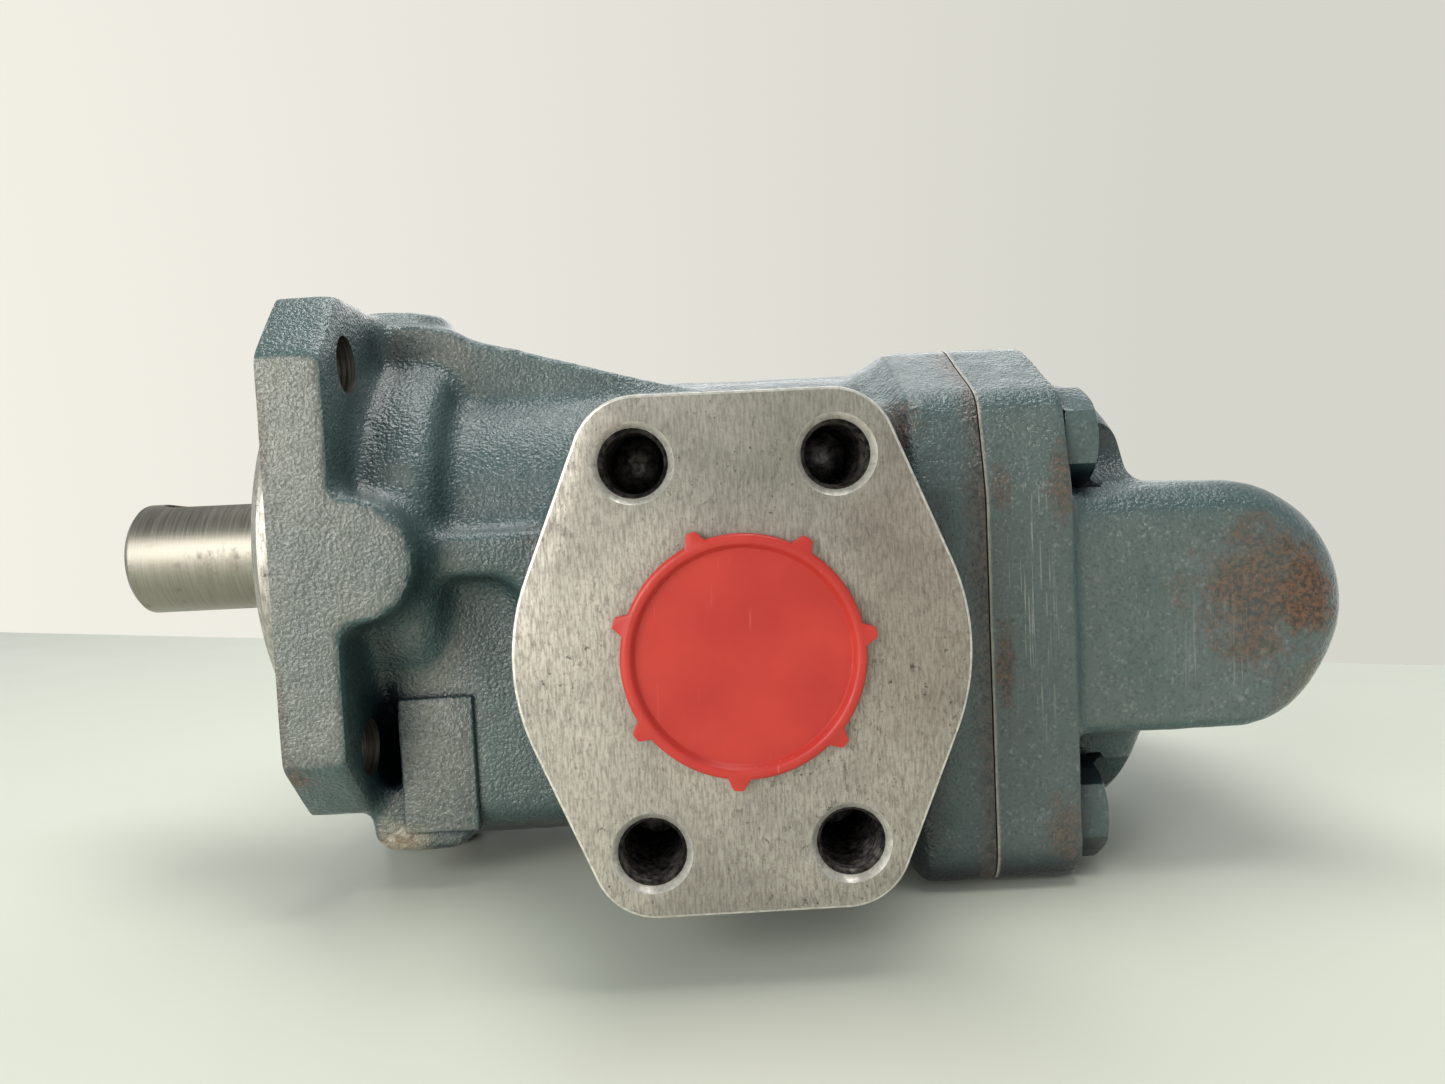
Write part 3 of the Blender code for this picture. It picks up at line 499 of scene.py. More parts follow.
def painted(name, rust=(), bare=(), parting=None, scratch=(), tone=1.0, grain=1.0,
            worn=0.22, painted_shadow_patches=()):
    """Grey-green enamel over a sand casting, with painted shade in its hollows and in given patches.
    """
    def shade(r, g, b, k=1.0):
        return tuple(c * tone * k for c in srgb(r, g, b)[:3]) + (1.0,)

    m = Look(name)
    # deep is not a paint colour: it is the near-black of painted shade in hollows
    teal, grey, deep = shade(60, 85, 85), shade(129, 129, 119), shade(6, 20, 27)
    large = m.noise(26.0, 3, 0.55)
    small = m.noise(0.66, 2, 0.5)
    fine = m.noise(0.38, 1, 0.5)
    # flats are rubbed thin and greyer, hollows keep the full colour and are darkened below as painted
    # shade
    flat = m.band(m.facing("Y"), 0.86, 0.99)
    hollow = m.occlude(17.0, 0.38, 0.92)
    rub = m.math('MULTIPLY', flat, m.band(large, 0.25, 0.75, 0.55, 1.0))
    rub = m.math('MULTIPLY', rub, m.band(hollow, 0.35, 0.95))
    # the flange's edge is handled the most
    rub = m.math('MULTIPLY', rub, m.band(m.axis("X"), 36.0, 25.0, worn, 1.0))
    colour = m.mix(rub, teal, grey)
    colour = m.mix(m.band(m.noise(11.0, 4, 0.65), 0.35, 0.68, 0.0, 0.30), colour,
                   shade(58, 74, 76))
    # tops of the grain are rubbed pale, its hollows are darker
    top = m.band(small, 0.54, 0.66)
    speck = m.math('MULTIPLY', top, m.band(m.noise(2.2, 3, 0.7), 0.42, 0.68))
    speck = m.math('MULTIPLY', speck, m.band(rub, 0.0, 1.0, 0.20, 0.58))
    colour = m.mix(speck, colour, srgb(176, 180, 172))
    pit = m.math('MULTIPLY', m.band(small, 0.45, 0.35), 0.42)
    colour = m.mix(pit, colour, shade(48, 58, 60))
    # painted shade: ambient occlusion darkens hollows, slots and gaps towards deep
    colour = m.mix(hollow, deep, colour)
    # painted shadow: near-black patches put where shade falls on the casting
    for centre, radii, amount in painted_shadow_patches:
        patch = m.math('MULTIPLY', m.spot(centre, radii, 0.35, 5.0), amount)
        colour = m.mix(patch, colour, srgb(12, 17, 19))
    rough = m.band(m.noise(3.0, 3, 0.6), 0.3, 0.7, 0.32, 0.48)
    for centre, radii, amount in scratch:
        zone = m.spot(centre, radii, 0.35, 12.0)
        lines = m.noise(0.8, 2, 0.6, m.mapping((1.6, 1.6, 0.04)))
        line = m.math('MULTIPLY', m.band(lines, 0.57, 0.66), zone)
        line = m.math('MULTIPLY', line, m.band(m.noise(5.0, 3, 0.6), 0.3, 0.6))
        colour = m.mix(m.math('MULTIPLY', line, amount), colour, srgb(170, 172, 164))
        even = m.band(m.noise(1.0, 2, 0.6, m.mapping((1.2, 1.2, 0.03))), 0.35, 0.65, 0.0, 0.30)
        colour = m.mix(m.math('MULTIPLY', even, zone), colour, shade(96, 106, 110))
    if parting is not None:
        x = m.axis("X")
        edge_x, side = parting
        away = m.math('MULTIPLY', m.math('SUBTRACT', x, edge_x), float(side))
        swing = 7.0 if side < 0 else 0.9
        away = m.math('ADD', away, m.math('MULTIPLY', m.math('SUBTRACT', m.noise(6.0, 4, 0.7),
                                                               0.5), swing))
        near = m.band(away, 4.6 if side < 0 else 0.75, 0.0)
        if side < 0:
            tint = m.mix(m.band(m.noise(1.2, 4, 0.75), 0.35, 0.65), srgb(16, 15, 16),
                         srgb(90, 76, 64))
            amount = 0.85
        else:
            tint = m.mix(m.noise(1.4, 3, 0.7), srgb(120, 112, 98), srgb(196, 190, 176))
            amount = 0.9
        colour = m.mix(m.math('MULTIPLY', near, amount), colour, tint)
    for centre, radii, amount in bare:
        patch = m.math('MULTIPLY', m.spot(centre, radii, 0.8, 3.0), amount)
        colour = m.mix(patch, colour, m.mix(m.band(m.noise(1.6, 4, 0.7), 0.4, 0.6),
                                             srgb(134, 116, 92), srgb(176, 170, 150)))
    for centre, radii, amount in rust:
        patch = m.math('MULTIPLY', m.spot(centre, radii, 0.95, 2.6), amount)
        tint = m.mix(m.band(m.noise(1.0, 4, 0.75), 0.38, 0.62), srgb(42, 33, 27), srgb(112, 74, 46))
        colour = m.mix(patch, colour, tint)
        rough = m.math('ADD', rough, m.math('MULTIPLY', patch, 0.3))
    m.bump(m.noise(5.0, 2, 0.5), 0.45 * grain, 0.9)
    m.bump(small, 0.85 * grain, 0.46)
    m.bump(fine, 0.30 * grain, 0.18)
    return m.done(colour, rough, 0.0, specular=0.35, coat=0.85, coat_rough=0.05)


def ground(name, light, dark, wave=(0.9, 0.9, 0.05), turn=(0, 0, 0), blot=0.35, metal=0.85,
           rough=(0.34, 0.52), pits=True, wear=0.0):
    """Ground or milled metal with a lay of fine streaks."""
    m = Look(name)
    lay = m.noise(0.36, 2, 0.65, m.mapping(wave, turn))
    second = m.noise(0.36, 2, 0.65, m.mapping(wave, (turn[0], turn[1] - 42, turn[2])))
    third = m.noise(0.9, 3, 0.7, m.mapping((wave[0], wave[1], wave[2] * 2),
                                           (turn[0], turn[1] + 6, turn[2])))
    both = m.math('ADD', m.math('MULTIPLY', lay, 0.62), m.math('MULTIPLY', second, 0.38))
    colour = m.mix(m.band(both, 0.34, 0.62), dark, light)
    colour = m.mix(m.band(m.noise(0.7, 3, 0.7), 0.50, 0.68, 0.0, 0.40), colour,
                   tuple(c * 0.6 for c in dark[:3]) + (1.0,))
    colour = m.mix(m.band(third, 0.56, 0.70, 0.0, 0.20), colour,
                   tuple(c * 0.45 for c in dark[:3]) + (1.0,))
    stain = m.math('MULTIPLY', m.band(m.noise(24.0, 6, 0.66), 0.40, 0.70), blot)
    colour = m.mix(stain, colour, tuple(c * 0.40 for c in dark[:3]) + (1.0,))
    if wear:
        smear = m.spot((PORT_X + 26, -PORT_FACE, PORT_Z + 4), (16, 30, 40), 0.5, 14.0)
        colour = m.mix(m.math('MULTIPLY', smear, wear), colour, srgb(104, 84, 66))
        smear = m.spot((PORT_X + 2, -PORT_FACE, PORT_Z + 33), (34, 30, 17), 0.5, 9.0)
        colour = m.mix(m.math('MULTIPLY', smear, wear * 1.1), colour, srgb(92, 94, 86))
        flecks = m.math('MULTIPLY', m.band(m.noise(0.8, 3, 0.8, m.mapping((1.0, 1.0, 0.45),
                                                                       (0, 24, 0))),
                                           0.56, 0.66),
                        m.band(m.noise(9.0, 4, 0.7), 0.38, 0.62))
        colour = m.mix(m.math('MULTIPLY', flecks, 0.55), colour, srgb(82, 74, 66))
    if pits:
        hole = m.math('MULTIPLY', m.band(m.noise(1.1, 3, 0.75), 0.60, 0.70), 0.80)
        hole = m.math('MULTIPLY', hole, m.band(m.noise(15.0, 3, 0.6), 0.34, 0.56))
        colour = m.mix(hole, colour, srgb(50, 46, 42))
    m.bump(both, 0.12, 0.06)
    m.bump(m.noise(1.2, 3, 0.7), 0.08, 0.10)
    return m.done(colour, m.band(both, 0.3, 0.7, rough[1], rough[0]), metal, specular=0.5)


def turned_steel(name, light, dark, axis="X", rough=(0.16, 0.30), metal=1.0, stain=0.25):
    """Turned or ground round stock: rings round its own axis."""
    m = Look(name)
    scale = {"X": (1.0, 0.03, 0.03), "Y": (0.03, 1.0, 0.03), "Z": (0.03, 0.03, 1.0)}[axis]
    rings = m.noise(0.35, 3, 0.6, m.mapping(scale))
    colour = m.mix(m.band(rings, 0.3, 0.7), dark, light)
    spots = m.math('MULTIPLY', m.band(m.noise(5.0, 5, 0.7), 0.55, 0.75), stain)
    colour = m.mix(spots, colour, srgb(96, 84, 74))
    r = m.band(rings, 0.3, 0.7, rough[0], rough[1])
    r = m.math('ADD', r, m.math('MULTIPLY', spots, 0.3))
    m.bump(rings, 0.02, 0.02)
    return m.done(colour, r, metal)


def plastic(name):
    m = Look(name)
    tone = m.band(m.noise(14.0, 3, 0.5), 0.3, 0.7)
    colour = m.mix(tone, srgb(182, 46, 38), srgb(198, 57, 46))
    lines = m.noise(0.7, 2, 0.6, m.mapping((1.0, 1.0, 0.05), (0, 38, 0)))
    other = m.noise(0.7, 2, 0.6, m.mapping((1.0, 1.0, 0.05), (0, -52, 0), (0.3, 0.1, 0.2)))
    marks = m.math('ADD', m.band(lines, 0.66, 0.74), m.band(other, 0.67, 0.75), clamp=True)
    marks = m.math('MULTIPLY', marks, m.band(m.noise(9.0, 2, 0.5), 0.45, 0.65))
    colour = m.mix(m.math('MULTIPLY', marks, 0.35), colour, srgb(236, 130, 118))
    m.bump(m.noise(0.8, 2, 0.5), 0.05, 0.05)
    m.bump(marks, 0.08, 0.05)
    r = m.band(m.noise(4.0, 3, 0.6), 0.3, 0.7, 0.32, 0.46)
    mat = m.done(colour, r, 0.0, specular=0.45)
    m.bsdf.inputs["Subsurface Weight"].default_value = 0.05
    m.bsdf.inputs["Subsurface Radius"].default_value = (0.004, 0.001, 0.001)
    m.bsdf.inputs["Subsurface Scale"].default_value = 0.5
    return mat


def rubber(name):
    m = Look(name)
    colour = m.mix(m.noise(2.0, 3, 0.6), srgb(22, 22, 23), srgb(40, 39, 39))
    m.bump(m.noise(0.5, 2, 0.5), 0.1, 0.05)
    return m.done(colour, m.band(m.noise(3.0, 2, 0.5), 0.3, 0.7, 0.5, 0.72), 0.0)


def threaded(name):
    """Oily tapped hole: dark, with bright crests."""
    m = Look(name)
    crest = m.band(m.noise(1.2, 3, 0.6), 0.35, 0.65)
    colour = m.mix(crest, srgb(58, 56, 58), srgb(118, 112, 108))
    m.bump(m.noise(0.7, 2, 0.6), 0.2, 0.08)
    return m.done(colour, m.band(m.noise(2.0, 2, 0.5), 0.3, 0.7, 0.25, 0.42), 0.9)


RUST_HOUSING = [((2.0, -49.5, -42.0), (5.0, 6.0, 7.0), 0.90),
                ((0.4, -49.5, -28.0), (1.6, 5.0, 16.0), 0.40),
                ((0.4, -49.5, 22.0), (1.4, 5.0, 10.0), 0.35),
                ((48.0, -38.0, 2.0), (8.0, 8.0, 5.0), 0.30),
                ((112.0, -44.0, 20.0), (8.0, 9.0, 10.0), 0.60)]
BARE_HOUSING = [((14.5, -31.0, -57.0), (8.0, 9.0, 7.5), 0.85)]
RUST_COVER = [((188.5, -47.0, -15.0), (7.5, 9.0, 14.0), 0.95),
              ((179.0, -47.0, -14.0), (19.0, 9.0, 18.0), 0.68),
              ((190.0, -45.0, -33.0), (12.0, 12.0, 9.0), 0.50),
              ((142.5, -50.0, 8.0), (4.0, 6.0, 12.0), 0.55),
              ((131.0, -50.0, 8.0), (2.6, 6.0, 7.0), 0.50),
              ((141.5, -50.0, -55.0), (5.0, 6.0, 9.0), 0.55),
              ((130.8, -50.0, -24.0), (2.4, 6.0, 11.0), 0.70)]
SCRATCH_COVER = [((136.0, -50.0, -12.0), (8.0, 10.0, 32.0), 0.85),
                 ((172.0, -47.0, -22.0), (16.0, 8.0, 17.0), 0.35)]

# the housing's painted shadow patches: the pocket under the rib, and beside port A's plate next to
# the rear block
PAINT = painted("cast_paint", RUST_HOUSING, BARE_HOUSING, parting=(127.9, -1),
                painted_shadow_patches=[((34.5, -31.0, -17.0), (14.0, 14.0, 14.0), 0.36),
                       ((115.0, -50.0, -40.0), (7.5, 8.0, 34.0), 0.85),
                       ((119.0, -50.0, -6.0), (5.0, 8.0, 24.0), 0.50)])
COVER_PAINT = painted("cover_paint", RUST_COVER, parting=(128.3, 1), scratch=SCRATCH_COVER,
                      worn=0.34)
SCREW_PAINT = painted("screw_paint", tone=1.0, grain=0.35)
PORT_METAL = ground("port_face_metal", srgb(190, 183, 171), srgb(152, 146, 136),
                    wave=(1.0, 1.0, 0.17), turn=(0, 17, 0), blot=0.42, metal=0.5,
                    rough=(0.40, 0.58), wear=0.34)
# bare chamfers round the port plates and tap mouths, made paler than the port face as a painted glint
# along the edge
EDGE_METAL_AND_GLINT = ground("edge_metal_and_glint", srgb(226, 222, 212), srgb(190, 186, 178),
                    wave=(0.3, 0.3, 0.3), blot=0.15, metal=0.6, rough=(0.30, 0.42), pits=False)
MACHINED = ground("machined_face", srgb(190, 187, 178), srgb(146, 142, 134),
                  wave=(0.6, 0.6, 0.08), metal=0.75, rough=(0.30, 0.46))
BORE = turned_steel("bored_iron", srgb(128, 124, 118), srgb(84, 80, 76), "X", (0.28, 0.44), 0.9)
THREAD = threaded("tapped_hole")
SHAFT = turned_steel("shaft_steel", srgb(150, 146, 135), srgb(132, 128, 118), "X",
                     (0.34, 0.44), 1.0, 0.50)
STEEL_X = turned_steel("turned_steel_x", srgb(190, 188, 182), srgb(150, 148, 142), "X")
STEEL_Y = turned_steel("turned_steel_y", srgb(188, 184, 174), srgb(150, 146, 138), "Y",
                       (0.22, 0.36))
STEEL_Z = turned_steel("plug_steel", srgb(168, 164, 154), srgb(128, 124, 116), "Z",
                       (0.26, 0.40))
BEARING = turned_steel("bearing_steel", srgb(212, 212, 212), srgb(186, 186, 186), "X",
                       (0.08, 0.16), 1.0, 0.05)
ALU = turned_steel("turned_aluminium", srgb(206, 206, 204), srgb(172, 172, 170), "X",
                   (0.24, 0.38), 1.0, 0.12)
BRONZE = turned_steel("bush_bronze", srgb(198, 158, 104), srgb(160, 120, 72), "X",
                      (0.22, 0.36), 1.0, 0.2)
BRASS = turned_steel("cage_brass", srgb(206, 172, 104), srgb(172, 138, 78), "X",
                     (0.2, 0.34), 1.0, 0.12)
RED = plastic("red_cap")
RUBBER = rubber("black_rubber")


def dress(obj, body, stands_for, default, classify=None, others=()):
    """Materials by face, then the piece rides on its body."""
    mesh = obj.data
    mesh.materials.clear()
    for mat in (default, *others):
        mesh.materials.append(mat)
    count = len(mesh.polygons)
    index = np.zeros(count, np.int32)
    if classify is not None:
        c = np.empty(count * 3)
        n = np.empty(count * 3)
        mesh.polygons.foreach_get("center", c)
        mesh.polygons.foreach_get("normal", n)
        c = c.reshape(-1, 3) * 1000.0 + np.array([-DATUM_X, 0.0, -DATUM_Z])
        index = classify(c, n.reshape(-1, 3)).astype(np.int32)
    mesh.polygons.foreach_set("material_index", index)
    mesh.update()
    obj.name = obj.data.name = obj.name
    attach(obj, body)
    if stands_for:
        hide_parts(*stands_for)
    return obj


# ================================================================== housing
REAR = rounded([(-50, -66, 7), (50, -66, 7), (50, 7, 14), (45.6, 24.6, 7), (22, 36, 12),
                (-22, 36, 12), (-45.6, 24.6, 7), (-50, 7, 14)])
PORT_OUTLINE = [(21.1, 39.4, 10), (37.3, 0.0, 34), (21.1, -39.4, 10),
                (-21.1, -39.4, 10), (-37.3, 0.0, 34), (-21.1, 39.4, 10)]


def port_loop(grow=0.0):
    pts = []
    for u, v in rounded(PORT_OUTLINE, 16):
        r = hypot(u, v)
        pts.append((PORT_Z + v * (1 + grow / r), PORT_X + u * (1 + grow / r)))
    return pts


CASE = (arc(0, 0, 33.6, 0, 180, 48)
        + rounded([(-33.6, -30, 0), (-33.6, -53.9, 8), (-10, -62.8, 30), (10, -62.8, 30),
                   (33.6, -53.9, 8), (33.6, -30, 0)], 10)[1:-1])
half, ch = 49.5, 12.7
flange = [(half, half - ch), (half - ch, half), (-half + ch, half), (-half, half - ch),
          (-half, -half + ch), (-half + ch, -half), (half - ch, -half), (half, -half + ch)]
shapes = [
    plate("s_flange", [flange], -3.0, 11.8),
    turned("s_bulge", [(5, 0), (5, 39), (12.5, 40.6), (15, 41.0), (22, 41.0), (25, 40.2),
                       (27, 38.2), (28, 34), (28, 0)]),
    plate("s_case", [CASE], 16.0, 122.0),
    plate("s_collar", [port_loop(4.5)], -39.4, 39.4, axis='Y'),
    plate("s_corner", [arc(-11.5, 36.0, 6.9, 0, 90, 12) + [(-11.5, 50.0), (-3.0, 50.0),
                                                          (-3.0, 36.0)]],
          -39.8, 39.8, axis='Y'),
    drill("s_lug_up", [('Z', LUG_X, 0, -66.2, 50.9, 10.8, 10.8, 64)]),
    drill("s_lug_side", [('Y', 0, LUG_X + 1.0, -49.7, 49.7, 11.8, 11.8, 64)]),
    plate("s_foot", [rounded([(-58.8, 9.6, 5), (-58.8, 29.6, 5), (-46.0, 29.6, 0),
                              (-46.0, 9.6, 0)])], -33.4, 33.4, axis='Y'),
    plate("s_web", [[(15.0, 14.0), (47.0, 14.0), (46.6, 25.5), (43.6, 31.0), (40.6, 42.0),
                     (32.7, 70.0), (28.0, 92.0), (15.0, 92.0)]], -15.2, 15.2, axis='Y'),
    block("s_ribs", (20.0, 60.0), (-40.3, 40.3), (-4.6, 3.9)),
    plate("s_boss", [port_loop(-0.25)], -77.0, 77.0, axis='Y'),
    plate("s_rear", [REAR], 115.0, 133.0),
    plate("s_shoulder", [rounded([(-46.5, -62.5, 9), (46.5, -62.5, 9), (46.5, 5, 12),
                                  (42, 22, 8), (20, 33.2, 12), (-20, 33.2, 12), (-42, 22, 8),
                                  (-46.5, 5, 12)])], 109.5, 118.0, bevel=3.0, bevel_seg=4,
          bevel_angle=60.0),
]
housing = cast("motor_housing", shapes, 1.15, 16, 0.80, 0.27,
               [(0.16, 9.0), (0.06, 3.6)])
# raised plain pads on the flat sides of the case, and crisp port plates
carve(housing, [
    block("pad", (16.6, 31.2), (-34.7, 34.7), (-54.5, -27.8), bevel=0.6),
    plate("port_plate", [port_loop()], -PORT_FACE, PORT_FACE, axis='Y', bevel=0.45,
          bevel_seg=2),
    turned("pilot", [(6, 0), (6, 40), (-5.8, 40), (-7.4, 38.4), (-7.4, 0)], seg=128),
], 'UNION')


def thread_profile(face, deep, minor, major, pitch, side):
    """Grooved wall of a tapped hole, from its mouth inward."""
    pts = [(face + side * 2.0, 0.0), (face + side * 2.0, major + 1.1), (face, major + 0.95),
           (face - side * 0.95, major)]
    y = 1.1
    while y < deep - pitch:
        pts += [(face - side * y, major - 0.05), (face - side * (y + pitch * 0.45), minor),
                (face - side * (y + pitch * 0.55), minor)]
        y += pitch
    pts += [(face - side * deep, minor), (face - side * (deep + 2.4), 0.0)]
    return pts


cutters = [
    # clean mounting face and joint face
    plate("c_front", [[(-70, -80), (70, -80), (70, 70), (-70, 70)], circle(40.02, n=128)],
          -9.0, 0.0),
    plate("c_back", [[(-80, -90), (80, -90), (80, 80), (-80, 80)]], 128.0, 140.0),
    turned("c_bearing", [(-8.4, 0), (-8.4, 32.7), (-7.4, 32.3), (-6.4, 31.3), (-5.6, 31.3),
                         (-5.6, 33.0), (-3.7, 33.0), (-3.7, 31.3), (25.3, 31.3), (25.3, 24.0),
                         (30.0, 24.0), (30.0, 14.5), (38.0, 14.5), (38.0, 0)]),
    plate("c_chamber", [figure8(19.1)], 36.3, 135.0),
    plate("c_seal_groove", [racetrack(26.4), racetrack(23.0)], 125.6, 131.0),
    turned("c_port_a", [(-90, 0), (-90, 16.6), (-81.3, 16.6), (-80.7, 16.0), (-6, 16.0), (-6, 0)],
           axis='Y', centre=(PORT_Z, PORT_X)),
    turned("c_port_b", [(90, 0), (90, 16.6), (81.3, 16.6), (80.7, 16.0), (6, 16.0), (6, 0)],
           axis='Y', centre=(PORT_Z, PORT_X)),
    drill("c_flange_holes", [('X', sy * 36.4, sz * 36.4, -5, 15.6, 5.4, 5.4, 48)
                             for sy in (-1, 1) for sz in (-1, 1)]),
    turned("c_drain", [(36.0, 0), (36.0, 7.3), (49.2, 7.3), (50.6, 8.4), (60.0, 8.4), (60.0, 0)],
           axis='Z', centre=(LUG_X, 0.0), seg=48),
    drill("c_drain_bore", [('Z', LUG_X, 0, 28.0, 40.0, 3.5, 3.5, 24)]),
    drill("c_taps", [('X', y, z, 114.5, 135.0, 5.3, 5.3, 32) for y, z in SCREWS]),
    drill("c_dowels", [('X', sy * 40.0, MID_Z - 2.0, 119.7, 135.0, 4.3, 4.3, 32)
                       for sy in (-1, 1)]),
    drill("c_passages", [('X', sy * 17.0, MID_Z, 92.0, 135.0, 3.4, 3.4, 24)
                         for sy in (-1, 1)]),
]
TAPS = [(PORT_X + sx * 15.1, PORT_Z + sz * 29.35) for sx in (-1, 1) for sz in (-1, 1)]
for x, z in TAPS:
    for side in (-1, 1):
        cutters.append(turned("c_tap", thread_profile(side * PORT_FACE, 24.0, 4.62, 5.25, 1.5,
                                                      side),
                              axis='Y', centre=(z, x), seg=40))
carve(housing, cutters)
smooth(housing.data, 30.0)


def housing_faces(c, n):
    x, y, z = c[:, 0], c[:, 1], c[:, 2]
    ay = np.abs(y)
    idx = np.zeros(len(x), int)
    r = np.hypot(y, z)
    port = np.hypot(x - PORT_X, z - PORT_Z)
    near_port = (np.abs(x - PORT_X) < 39) & (np.abs(z - PORT_Z) < 41)
    idx[near_port & (ay > PORT_FACE - 0.5) & (np.abs(n[:, 1]) > 0.12)] = 2
    idx[(port < 16.7) & (ay > 17) & (np.abs(n[:, 1]) < 0.9)] = 4
    idx[(x < 0.05) & (n[:, 0] < -0.5)] = 3
    idx[(r < 40.2) & (x < 0.2)] = 3
    idx[(r < 33.2) & (x > -7.0) & (x < 36) & (r > 0)] = 4
    inner = (np.hypot(y, z) < 19.3) | (np.hypot(y, z + CENTRES) < 19.3)
    idx[inner & (x > 30)] = 4
    idx[(x > 127.9) & (n[:, 0] > 0.5)] = 3
    for hy, hz in SCREWS:
        idx[(np.hypot(y - hy, z - hz) < 5.5) & (x > 114)] = 5
    for hy in (-36.4, 36.4):
        for hz in (-36.4, 36.4):
            idx[(np.hypot(y - hy, z - hz) < 5.6) & (np.abs(n[:, 0]) < 0.4) & (x < 12.2)] = 4
    for hx, hz in TAPS:
        d = np.hypot(x - hx, z - hz)
        idx[(d < 6.3) & (ay > 50)] = 5
        idx[(d < 6.4) & (ay > PORT_FACE - 1.0) & (np.abs(n[:, 1]) > 0.3)
            & (ay < PORT_FACE - 0.02)] = 2
    idx[(np.hypot(x - LUG_X, y) < 7.5) & (z > 30) & (np.abs(n[:, 2]) < 0.5)] = 4
    idx[near_port & (ay > PORT_FACE - 0.03) & (np.abs(n[:, 1]) > 0.95)] = 1
    return idx


dress(housing, "motor_body", ["housing"], PAINT, housing_faces,
      (PORT_METAL, EDGE_METAL_AND_GLINT, MACHINED, BORE, THREAD))


# =============================================================== rear cover
dome = ([(138, 0), (138, 46.8), (153.0, 46.6)]
        + [(155.6 + 6.2 * sin(radians(t)), 40.4 + 6.2 * cos(radians(t)))
           for t in range(8, 91, 8)] + [(162.6, 28.0), (163.2, 14.0), (163.4, 0)])


def soft_bar():
    """The valve's cross bar: a round-ended slab, its lower edge left sharper
    than its top and its round end."""
    rim = [(VALVE_Z - VALVE_R, 141.0, -1.0, 0.0, 3.2)]
    for k in range(49):
        t = radians(180.0 - 180.0 * k / 48)
        f = min(1.0, max(0.0, (180.0 - degrees(t) - 4.0) / 62.0))
        r = 3.2 + 5.4 * f * f * (3.0 - 2.0 * f)
        rim.append((VALVE_Z + VALVE_R * cos(t), VALVE_X + VALVE_R * sin(t), cos(t), sin(t), r))
    rim.append((VALVE_Z + VALVE_R, 141.0, 1.0, 0.0, 8.6))
    depths = [0.0, 0.25, 0.7, 1.3, 2.1, 3.2, 4.6, 6.2, 8.6]
    levels = [(-47.2 + d, d) for d in depths] + [(47.2 - d, d) for d in reversed(depths)]
    bm = bmesh.new()
    rings = []
    for y, d in levels:
        ring = []
        for z, x, nz, nx, r in rim:
            cut = r - sqrt(max(0.0, r * r - (r - d) ** 2)) if d < r else 0.0
            ring.append(bm.verts.new(place(x - nx * cut, y, z - nz * cut)))
        rings.append(ring)
    count = len(rim)
    for one, two in zip(rings, rings[1:]):
        for j in range(count):
            k = (j + 1) % count
            bm.faces.new([one[j], one[k], two[k], two[j]])
    bm.faces.new(rings[0])
    bm.faces.new(list(reversed(rings[-1])))
    bmesh.ops.recalc_face_normals(bm, faces=bm.faces)
    mesh = bpy.data.meshes.new("s_bar")
    bm.to_mesh(mesh)
    bm.free()
    return put("s_bar", mesh, Matrix.Identity(4))


cover = cast("motor_rear_cover", [
    plate("s_plate", [REAR], 124.0, 144.4),
    turned("s_dome", dome, centre=(0.0, -17.0)),
    soft_bar(),
], 1.0, 10, 0.70, 0.26, [(0.16, 9.0), (0.06, 3.4)])
carve(cover, [
    plate("c_joint", [[(-80, -90), (80, -90), (80, 80), (-80, 80)]], 118.0, 128.3),
    # spot facings round the screw heads
    turned("c_s1", [(144.3, 0), (144.3, 10.2), (144.8, 10.5), (152.4, 10.5), (153.8, 8.9),
                     (166, 8.9), (166, 0)],
           centre=SCREWS[0], seg=64),
    turned("c_s2", [(144.3, 0), (144.3, 10.2), (144.8, 10.5), (152.4, 10.5), (153.8, 8.9),
                     (166, 8.9), (166, 0)],
           centre=SCREWS[1], seg=64),
    turned("c_s3", [(144.3, 0), (144.3, 10.2), (144.8, 10.5), (152.4, 10.5), (153.8, 8.9),
                     (166, 8.9), (166, 0)],
           centre=SCREWS[2], seg=64),
    turned("c_s4", [(144.3, 0), (144.3, 10.2), (144.8, 10.5), (152.4, 10.5), (153.8, 8.9),
                     (166, 8.9), (166, 0)],
           centre=SCREWS[3], seg=64),
    drill("c_screw_holes", [('X', y, z, 120.0, 150.0, 5.5, 5.5, 32) for y, z in SCREWS]),
    drill("c_cover_dowels", [('X', sy * 40.0, MID_Z - 2.0, 120.0, 136.6, 4.3, 4.3, 32)
                             for sy in (-1, 1)]),
    drill("c_cover_passages", [('X', sy * 17.0, MID_Z, 120.0, 172.0, 3.4, 3.4, 24)
                               for sy in (-1, 1)]),
    turned("c_valve", [(-27, 0), (-27, 6.0), (-8.0, 6.0), (-8.0, 11.3), (46.0, 11.3),
                       (47.4, 12.6), (60, 12.6), (60, 0)], axis='Y',
           centre=(VALVE_Z, VALVE_X), seg=64),
])
smooth(cover.data, 30.0)


def cover_faces(c, n):
    x, y, z = c[:, 0], c[:, 1], c[:, 2]
    idx = np.zeros(len(x), int)
    idx[(x < 128.4) & (n[:, 0] < -0.5)] = 1
    for hy, hz in SCREWS:
        d = np.hypot(y - hy, z - hz)
        idx[(d < 5.7) & (x < 144.2)] = 2
    idx[(np.hypot(x - VALVE_X, z - VALVE_Z) < 11.5) & (y > -28) & (np.abs(n[:, 1]) < 0.9)] = 2
    return idx


dress(cover, "motor_body", ["rear_cover"], COVER_PAINT, cover_faces,
      (MACHINED, BORE))


# =================================================================== screws
def hexagon(across, turn=0.0):
    return [(across / sqrt(3) * cos(radians(60 * k + turn)),
             across / sqrt(3) * sin(radians(60 * k + turn))) for k in range(6)]


